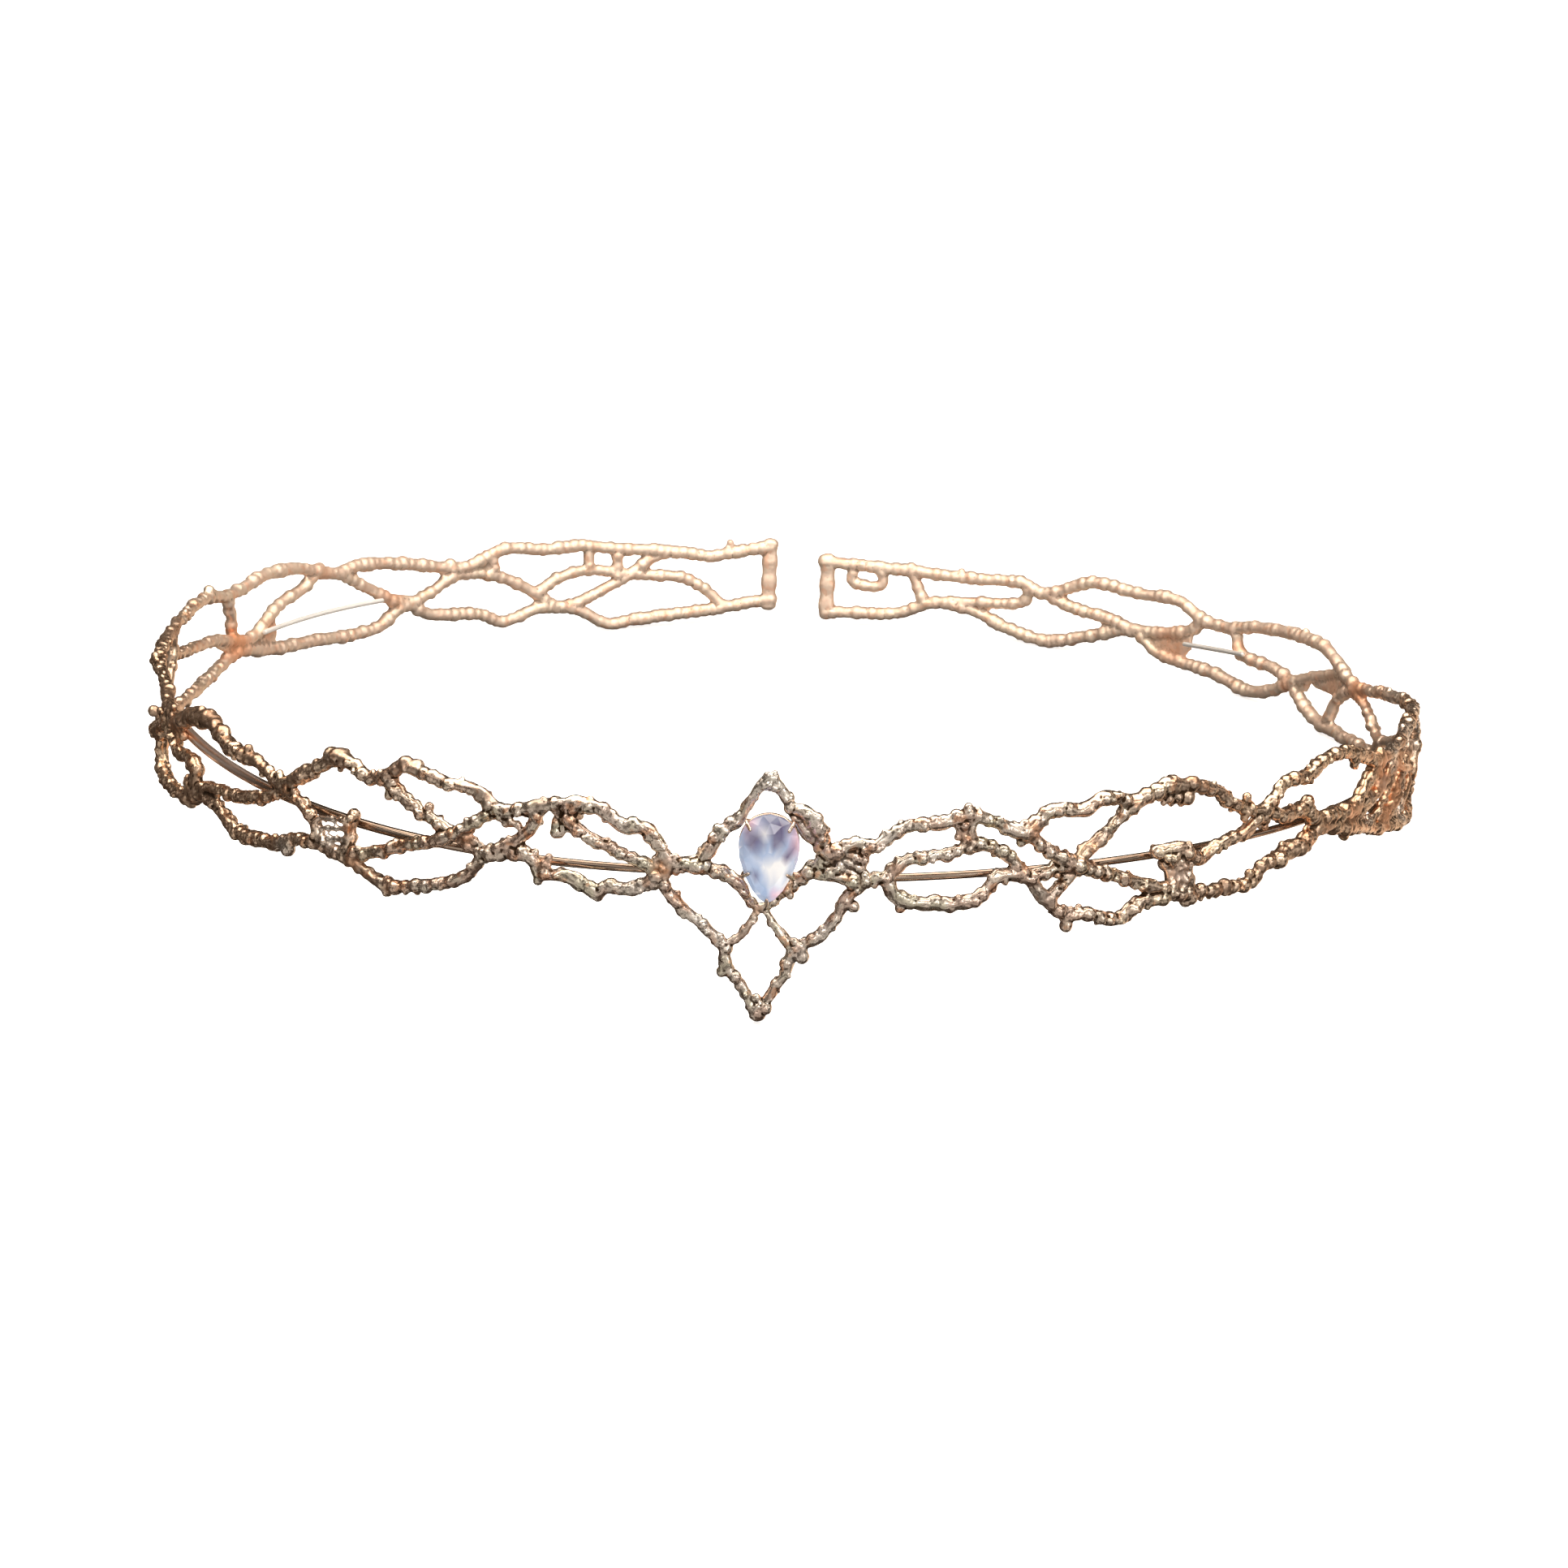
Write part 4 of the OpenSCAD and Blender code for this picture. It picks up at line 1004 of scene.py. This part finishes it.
# The thinner strands that lie side by side in the right-hand knot
knotStrands = [
    [[4.4, 0.5, -0.4], [5.8, 0.4], [7.6, -0.2]],
    [[5, 1.3, -0.2], [6.2, 1.2], [7.5, 0.6]],
    [[5.4, 2, -0.1], [6.6, 1.9], [7.6, 1.4]]
]

motifDiamond = [[-2.8, -8], [-1.3, -6.7, -0.2], [0, -4.1, -0.7], [1.3, -6, -0.2], [2.6, -8.2]]

motifBuds = [[3.2, -8, 3.3, -8.9, 1.4, 0], [6.6, -3.2, 7.1, -3.5, 1.2, 0],
    [-2.9, -0.7, -3.1, -0.6, 1.5, -0.8], [-3.3, 3.5, -3.6, 3.9, 1, -0.7],
    [1.9, -2.1, 2.1, -1.8, 1.5, -0.8], [-2.4, -10, -2.8, -10.8, 1.1, 0],
    [0, -14.5, 0.1, -14.8, 1.7, 0]]

# The motif's grid is finer than the halves'; the overlap past the seam is in degrees
frontMotif = {"voxel": 0.12, "rounds": 2, "seed": 23, "overlap": 0.15}
motifClusters = [
    [-7.5, -0.4, 12, 0.44, 1], [0.3, 8.8, 6, 0.42, 0.8], [3.6, 4.9, 4, 0.4, 0.7],
    [0.1, -14, 6, 0.42, 0.8], [-2.8, -7.8, 5, 0.42, 1], [2.7, -7.9, 6, 0.42, 1],
    [5.6, 0.4, 6, 0.42, 1.3], [1.9, -1.9, 5, 0.42, 1]
]


def frontMotifPiece():
    # its own twigs, and the first bit of each half's as far as the seam
    draw = np.random.default_rng(frontMotif["seed"])
    parts = []
    for rows in motifTwigs:
        parts += twigParts(rows, right, band["twig"], draw)
    for rows in knotStrands:
        parts += twigParts(rows, right, band["strand"], draw)
    parts += twigParts(motifDiamond, right, band["fineTwig"], draw)
    reach = (0, band["seamAngle"] + frontMotif["overlap"])
    for crest, keel, branches, side in (
            (leftCrest, leftKeel, leftBranches, left), (rightCrest, rightKeel, rightBranches, right)):
        parts += twigParts(endToEnd(crest), side, band["twig"], draw, reach)
        parts += twigParts(endToEnd(keel), side, band["twig"], draw, reach)
        parts += twigParts(branches[0], side, band["branch"], draw, reach)
    parts += [budPart(row, right) for row in motifBuds]
    parts += [clusterPart(row, right) for row in motifClusters]
    twigPiece("frontMotif", parts, frontMotif["voxel"], frontMotif["rounds"], "front_motif")


frontMotifPiece()

# The smooth wires inside the halves: each is an arc through three rows, written as a twig's
# A wire's three measures are its first thickness, its last, and how far it runs on at both ends
smoothWire = {
    "step": 0.5,
    "sides": 20,
    "leftFront": (0.86, 1.3, 1.3),
    "rightFront": (0.84, 0.84, 1.3),
    "back": (0.66, 0.66, 0.2),
    "endRound": 0.2,  # how far an end bulges, as a share of the thickness
    "unevenness": 0.05,
    "unevenLength": 3.0,
}
leftStay = [[10, -1.2, -1.6], [36, -1.45, -2.1], [62.3, 0.95, -1.2]]
rightStay = [[9.6, -0.95, -1.6], [34, -0.35, -2.15], [63, 0.2, -1.2]]
leftBack = [[111.5, -0.1, -1.2], [120, 0.4, -1.2], [130, 0.75, -1.2]]
rightBack = [[124, 0.1, -1.2], [128, -0.25, -1.2], [132.5, -0.6, -1.2]]
wireLook = {
    "colour": (0.45, 0.35, 0.28),
    "dull": (0.26, 0.19, 0.14),
    # painted light: the pale colour round the back
    "rear": (0.93, 0.94, 0.94),
    "temple": (0.92, 0.76, 0.68),  # painted highlight: the pinkish end at the left temple
    "templeEdges": (-0.058, -0.05),
    "tarnish": 160.0,  # noise scales, in 1/m
    "drawn": 3200.0,
    "tarnishEdges": (0.5, 0.72),
    "polish": 0.12,  # the least roughness, and what each of these adds
    "rougher": {"tarnish": 0.14, "drawn": 0.05, "back": 0.4, "temple": 0.2},
}


def wireMaterial():
    # bright and dull stretches, pinkish at the left temple as a painted highlight and pale round the back
    # as painted light, rougher where dull
    material, s, shader = newMaterial("brightWire", {"Metallic": 1.0})
    place = s.node("ShaderNodeTexCoord", output=3)
    cloud = s.node("ShaderNodeTexNoise", {}, {"Vector": place, "Scale": wireLook["tarnish"], "Detail": 3.0})
    drawn = s.node("ShaderNodeTexNoise", {}, {"Vector": place, "Scale": wireLook["drawn"], "Detail": 1.0})
    tarnish = cloud.between(*wireLook["tarnishEdges"])
    behind = s.node("ShaderNodeSeparateXYZ", {}, {0: place}, 1).between(*castGoldLook["backEdges"])
    across = s.node("ShaderNodeSeparateXYZ", {}, {0: place}, 0)
    temple = 1 - across.between(*wireLook["templeEdges"])
    metal = tarnish.blend((*wireLook["colour"], 1), (*wireLook["dull"], 1))
    metal = temple.blend(metal, (*wireLook["temple"], 1))
    roughness = wireLook["polish"]
    for name, mask in (("tarnish", tarnish), ("drawn", drawn), ("back", behind), ("temple", temple)):
        roughness = roughness + wireLook["rougher"][name] * mask
    paint(shader, colour=behind.blend(metal, (*wireLook["rear"], 1)), roughness=roughness)
    return material


brightWire = wireMaterial()


def arcThrough(rows, side, further):
    # the circle through three places, whose middle is equally far from each; it runs on into the joints
    spots, _ = onBand(np.array(rows, float), side)
    toSecond, toThird = spots[1] - spots[0], spots[2] - spots[0]
    normal = np.cross(toSecond, toThird)
    toMiddle = (np.cross(normal, toSecond) * (toThird @ toThird)
        + np.cross(toThird, normal) * (toSecond @ toSecond)) / (2 * normal @ normal)
    radius = np.linalg.norm(toMiddle)
    xAxis = -toMiddle / radius
    yAxis = np.cross(normal / np.linalg.norm(normal), xAxis)
    toEnd = toThird - toMiddle
    sweep = np.arctan2(toEnd @ yAxis, toEnd @ xAxis) % (2 * np.pi)
    runOn = further / radius
    turn = np.linspace(-runOn, sweep + runOn, int(radius * sweep / smoothWire["step"]))[:, None]
    outs = np.cos(turn) * xAxis + np.sin(turn) * yAxis
    return spots[0] + toMiddle + radius * outs, outs


def smoothWirePiece(name, rows, side, measures, nodeName):
    # a round section on its arc, which goes evenly from the first thickness to the second
    first, last, further = measures
    centres, outs = arcThrough(rows, side, further)
    centres, outs, ends = roundedEnds(centres, outs, first * smoothWire["endRound"])
    half = np.linspace(first, last, len(centres)) / 2
    thin = 1 - smoothWire["unevenness"] * latticeNoise(centres, smoothWire["unevenLength"], 4)
    radii = np.repeat((half * ends * thin)[:, None], smoothWire["sides"], 1)
    points, squares, caps = sweepTube(centres, outs, radii)
    piece = addPiece(name, points, squares.tolist() + caps, brightWire)
    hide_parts(nodeName)


smoothWirePiece("leftStayWire", leftStay, left, smoothWire["leftFront"], "left_stay_wire")
smoothWirePiece("rightStayWire", rightStay, right, smoothWire["rightFront"], "right_stay_wire")
smoothWirePiece("leftBackWire", leftBack, left, smoothWire["back"], "left_back_wire")
smoothWirePiece("rightBackWire", rightBack, right, smoothWire["back"], "right_back_wire")
print("smooth wires made")

# The pear stone, in its own plane: width across, height up, and depth outwards
stone = {
    "width": 6.0,
    "height": 9.0,
    "crown": 1.1,
    "pavilion": 2.3,
    "facets": 16,
    "narrowing": 0.5,  # how much of its width the point loses, and how late that sets in
    "lateness": 1.2,
    "widest": 0.815,  # the widest share that the narrowing leaves
    "angle": 0.45,  # its place, in degrees from the front, with its height and girdle radius
    "middle": 1.5,
    "radius": 76.05,
}
# Painted on its facets, facet by facet: white flashes are painted highlights, violet ones painted dark
# reflections, and pink ones its colour play; each flash is [across, up, half width, half height] in its
# plane
opalLook = {
    "skyBlue": (0.38, 0.5, 0.74),
    # the milky cloud's colour, and the white flashes, which are painted highlights
    "milkAndHighlight": (0.95, 0.96, 0.98),
    "pink": (0.8, 0.56, 0.7),
    # painted dark reflections
    "darkVioletReflection": (0.13, 0.11, 0.22),
    "cloud": 0.12,  # the most that the milky cloud covers
    "cloudScale": 480.0,
    "cloudEdges": (0.4, 0.65),
    "strength": 1.6,  # a flash's strength in its middle, cut off at 1, and its fall to the edge
    "fall": 1.3,
    "jitter": 0.4,  # how unevenly the facets take up a flash
    "seed": 31,
}
opalFlashes = {
    "milkAndHighlight": [[0.8, -0.6, 1.5, 1.5], [1.3, -2, 1.2, 1.4], [-0.3, 2.6, 0.5, 0.9]],
    "pink": [[2.6, 2.2, 0.9, 1.8], [-2, 3.4, 1.1, 1], [0.7, -3.7, 0.7, 0.7]],
    "darkVioletReflection": [[-1.5, 2.1, 1.1, 1.2], [0.6, 2.4, 0.9, 0.9], [0.6, 3.9, 1.7, 0.7], [1.9, 1, 0.8, 0.7],
        [-1.2, -1.8, 0.6, 0.6]],
}


def pearOutline(turn, grow=0.0):
    # an oval whose half width shrinks towards its point, moved out by grow
    narrow = 1 - stone["narrowing"] * ((1 - np.cos(turn)) / 2) ** stone["lateness"]
    x = stone["width"] / 2 * np.sin(turn) * narrow / stone["widest"]
    y = stone["height"] / 2 * np.cos(turn)
    scale = 1 + grow / np.hypot(x, y)
    return np.stack([x * scale, y * scale], -1)


def atStone(points):
    # the stone's plane stands upright at the front, with its third axis outwards
    x, y, depth = points.T
    angle = math.radians(stone["angle"])
    reach = stone["radius"] + depth
    return np.stack([np.cos(angle) * x + np.sin(angle) * reach,
        np.sin(angle) * x - np.cos(angle) * reach, y + stone["middle"]], 1)


def opalMaterial():
    # blue, then each kind of flash where its attribute says: painted highlights, painted dark reflections
    # and pink colour play; then the milky cloud
    material, s, shader = newMaterial("opalStone", {"Metallic": 0.0, "IOR": 1.55, "Roughness": 0.05,
        "Transmission Weight": 0.12, "Coat Weight": 0.4, "Coat Roughness": 0.03})
    colour = (*opalLook["skyBlue"], 1)
    for name in opalFlashes:
        mask = s.node("ShaderNodeAttribute", {"attribute_name": name}, output=2)
        colour = mask.blend(colour, (*opalLook[name], 1))
    place = s.node("ShaderNodeTexCoord", output=3)
    cloud = s.node("ShaderNodeTexNoise", {},
        {"Vector": place, "Scale": opalLook["cloudScale"], "Detail": 2.0})
    milky = opalLook["cloud"] * cloud.between(*opalLook["cloudEdges"])
    colour = milky.blend(colour, (*opalLook["milkAndHighlight"], 1))
    paint(shader, colour=colour)
    return material


opalStone = opalMaterial()


def flashShare(spots, flashes, jitter):
    # 1 in the middle of a flash, 0 a little past its edge, and the largest of several
    share = np.zeros(len(spots))
    for across, up, halfWidth, halfHeight in flashes:
        away = np.hypot((spots[:, 0] - across) / halfWidth, (spots[:, 1] - up) / halfHeight)
        share = np.maximum(share, np.clip(opalLook["strength"] - opalLook["fall"] * away + jitter, 0, 1))
    return share


def centreStonePiece():
    # rings of scaled pear outlines at their depths, every second one turned by half a facet
    n = stone["facets"]
    half = math.pi / n
    crown, pavilion = stone["crown"], stone["pavilion"]
    # each level is its scale, its depth and its turn, from the culet to the table
    levels = [(0.3, -0.94 * pavilion, half), (0.68, -0.55 * pavilion, 0), (0.985, -0.13, half),
        (1.0, -0.08, 0), (1.0, 0.08, 0), (0.985, 0.13, half), (0.84, 0.6 * crown, 0),
        (0.62, 0.94 * crown, half), (0.4, 0.98 * crown, 0), (0.2, crown, half)]
    turn = np.arange(n) * 2 * math.pi / n
    rings = []
    for scale, depth, shift in levels:
        rings.append(np.column_stack([pearOutline(turn + shift) * scale, np.full(n, depth)]))
    points = np.concatenate(rings)
    faces = []
    for i in range(len(levels) - 1):
        a = i * n + np.arange(n)
        b = i * n + (np.arange(n) + 1) % n
        below, above = levels[i][2] > 0, levels[i + 1][2] > 0
        if below == above:
            pairs = [np.stack([a, b, b + n, a + n], 1)]
        elif above:
            pairs = [np.stack([a, b, a + n], 1), np.stack([b, b + n, a + n], 1)]
        else:
            pairs = [np.stack([a, b, b + n], 1), np.stack([a, b + n, a + n], 1)]
        for pair in pairs:
            faces += pair.tolist()
    faces += [list(range(n))[::-1], [(len(levels) - 1) * n + k for k in range(n)]]
    piece = addPiece("centreStone", atStone(points), faces, opalStone, smooth=False)
    jitter = np.random.default_rng(opalLook["seed"]).uniform(
        -opalLook["jitter"], opalLook["jitter"], len(points))
    for name, flashes in opalFlashes.items():
        share = flashShare(points, flashes, jitter)
        piece.data.attributes.new(name, "FLOAT", "POINT").data.foreach_set("value", share)
    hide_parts("centre_stone")


centreStonePiece()
print("stone cut")

# The collar behind the stone and the claws that hold it
setting = {
    "collarHalfWidth": 0.19,
    "collarHalfHeight": 0.3,
    "inset": 0.2,  # how far the collar lies inside the stone's outline
    "depth": -0.75,
    "steps": 97,
    "sides": 12,
    "clawTurns": (38, 112, 180, 248, 322),  # in degrees from the round end
    # how far out of the outline, and depth
    "clawPath": [(-0.1, -0.9), (0.15, -0.4), (0.25, 0.2), (0.0, 0.6), (-0.4, 0.85)],
    "clawSteps": 25,
    "clawEnd": 0.35,
    "clawRadii": ([0, 0.5, 0.85, 1], [0.28, 0.2, 0.18, 0.22]),  # share of its length, radius
    "voxel": 0.06,
    "rounds": 3,
    "creases": 40.0,
}


def settingPiece():
    # the collar's section is an oval, carried round the pear outline, and the claws are fused to it
    turn = np.linspace(0, 2 * np.pi, setting["steps"])
    rim = np.column_stack([pearOutline(turn, -setting["inset"]), np.full(len(turn), setting["depth"])])
    outs = np.column_stack([pearOutline(turn), np.zeros(len(turn))])
    outs /= np.linalg.norm(outs, axis=1)[:, None]
    section = np.linspace(0, 2 * np.pi, setting["sides"], endpoint=False)
    oval = 1 / np.sqrt((np.cos(section) / setting["collarHalfWidth"]) ** 2
        + (np.sin(section) / setting["collarHalfHeight"]) ** 2)
    parts = [sweepTube(atStone(rim), turnToStone(outs), np.repeat(oval[None], len(turn), 0))]
    parts += [clawPart(math.radians(degrees)) for degrees in setting["clawTurns"]]
    skin = fused(parts, setting["voxel"], setting["rounds"])
    piece = addPiece("stoneSetting", skin["points"], skin["faces"].tolist(), castGold,
        {"hollow": hollows(skin, setting["creases"])})
    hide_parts("stone_setting")
    print("setting made:", len(skin["faces"]) * 2, "triangles")


def turnToStone(directions):
    # a direction in the stone's plane, turned as the stone is
    angle = math.radians(stone["angle"])
    x, y, depth = directions.T
    return np.stack([np.cos(angle) * x + np.sin(angle) * depth,
        np.sin(angle) * x - np.cos(angle) * depth, y], 1)


def clawPart(turn):
    # a bent wire from the collar over the girdle, with a round tip on the crown
    knots = np.array(setting["clawPath"])
    share = np.linspace(0, len(knots) - 1, setting["clawSteps"])
    grow, depth = (np.interp(share, range(len(knots)), column) for column in knots.T)
    spot = np.stack([pearOutline(np.array([turn]), g)[0] for g in grow])
    centres = atStone(np.column_stack([spot, depth]))
    side = np.array([[math.cos(turn), -math.sin(turn), 0.0]])
    outs = np.repeat(turnToStone(side), len(centres), 0)
    centres, outs, ends = roundedEnds(centres, outs, setting["clawEnd"])
    radii = ends * np.interp(np.linspace(0, 1, len(centres)), *setting["clawRadii"])
    return sweepTube(centres, outs, np.repeat(radii[:, None], setting["sides"], 1))


settingPiece()

# The floor: a wide pale sheet that curves up behind
# The wall is a ring that hides the room from the camera
floorLook = {
    "colour": (0.93, 0.93, 0.925),
    "glow": 0.6,
    "width": 8.0,
    "front": -3.0,
    "bend": 2.2,
    "bendSteps": 24,
    "rise": 1.2,
    "above": 2.0,
    "level": -0.0003,  # the lowest beads stand a little under the solids
    "wallReach": 9.0,
    "wallFoot": -1.0,
    "wallHeight": 12.0,
    "wallSides": 48,
    "wallGlow": 1.0,
}


def stageSheet(mesh, glow):
    # pale paper that glows a little, as soft light from all round would make it
    material, _, _ = newMaterial(mesh.name, {"Roughness": 0.9, "Specular IOR Level": 0.1,
        "Base Color": (*floorLook["colour"], 1), "Emission Color": (1, 1, 1, 1), "Emission Strength": glow})
    mesh.materials.append(material)
    sheet = bpy.data.objects.new(mesh.name, mesh)
    bpy.context.scene.collection.objects.link(sheet)
    return sheet


def floorSheet():
    # flat to the bend, then a quarter of a circle up, then straight
    bend, rise = floorLook["bend"], floorLook["rise"]
    quarter = np.linspace(0, np.pi / 2, floorLook["bendSteps"])
    y = np.concatenate([[floorLook["front"]], bend + rise * np.sin(quarter), [bend + rise]])
    z = floorLook["level"] + np.concatenate(
        [[0], rise - rise * np.cos(quarter), [rise + floorLook["above"]]])
    x = np.array([-0.5, 0.5]) * floorLook["width"]
    points = np.stack(np.broadcast_arrays(x[None], y[:, None], z[:, None]), -1).reshape(-1, 3)
    a = np.arange(len(y) - 1) * 2
    mesh = bpy.data.meshes.new("floorSheet")
    mesh.from_pydata(points.tolist(), [], np.stack([a, a + 1, a + 3, a + 2], 1).tolist())
    mesh.polygons.foreach_set("use_smooth", np.full(len(mesh.polygons), True))
    sheet = stageSheet(mesh, floorLook["glow"])
    sheet.visible_glossy = False


def paleWall():
    # a ring of wall far behind the floor on every side, which lights and shades nothing
    sides, reach = floorLook["wallSides"], floorLook["wallReach"]
    turn = np.linspace(0, 2 * np.pi, sides, endpoint=False)
    points = np.concatenate([
        np.stack([reach * np.cos(turn), reach * np.sin(turn), np.full(sides, height)], 1)
        for height in (floorLook["wallFoot"], floorLook["wallHeight"])])
    mesh = bpy.data.meshes.new("paleWall")
    mesh.from_pydata(points.tolist(), [], gridFaces(2, sides).tolist())
    wall = stageSheet(mesh, floorLook["wallGlow"])
    for ray in ("diffuse", "glossy", "transmission", "volume_scatter", "shadow"):
        setattr(wall, "visible_" + ray, False)


floorSheet()
paleWall()

# The room: bright cloths and dark cards all round, more cloth in front, and a warm one behind on the right
room = {
    "low": (0.055, 0.04, 0.03),  # the dark cards
    "high": (0.72, 0.67, 0.61),  # the cloths
    "warmHigh": (1.2, 0.92, 0.68),
    "bright": (0.0, -0.95, 0.3),  # the way to the most cloth
    "lean": 0.2,
    "glowing": (0.65, 0.73, -0.2),  # the way to the warm cloth
    "glowLean": 0.3,
    "glowEdges": (0.7, 0.97),
    "cards": 3.2,  # noise scale: how small the cards are
    "litEdges": (0.53, 0.7),
    "strength": 1.0,
}


def lightRoom():
    # a noise over all directions, raised towards the two bright ways, is cloth above an edge and card below
    world = bpy.data.worlds.new("room")
    bpy.context.scene.world = world
    world.use_nodes = True
    tree = world.node_tree
    s = Shade(tree)
    way = s.node("ShaderNodeTexCoord")
    lobe = s.node("ShaderNodeVectorMath", {"operation": "DOT_PRODUCT"}, {0: way, 1: room["bright"]}, 1)
    cards = s.node("ShaderNodeTexNoise", {}, {"Vector": way, "Scale": room["cards"], "Detail": 0.0})
    rear = s.node("ShaderNodeVectorMath", {"operation": "DOT_PRODUCT"}, {0: way, 1: room["glowing"]}, 1)
    glow = rear.between(*room["glowEdges"])
    lit = (cards + room["lean"] * lobe + room["glowLean"] * glow).between(*room["litEdges"])
    cloth = glow.blend((*room["high"], 1), (*room["warmHigh"], 1))
    colour = lit.blend((*room["low"], 1), cloth)
    back = tree.nodes["Background"]
    tree.links.new(colour.socket, back.inputs["Color"])
    back.inputs["Strength"].default_value = room["strength"]


lightRoom()
view = bpy.context.scene.view_settings
view.view_transform = "Standard"
view.look = "None"
print("floor and room made")
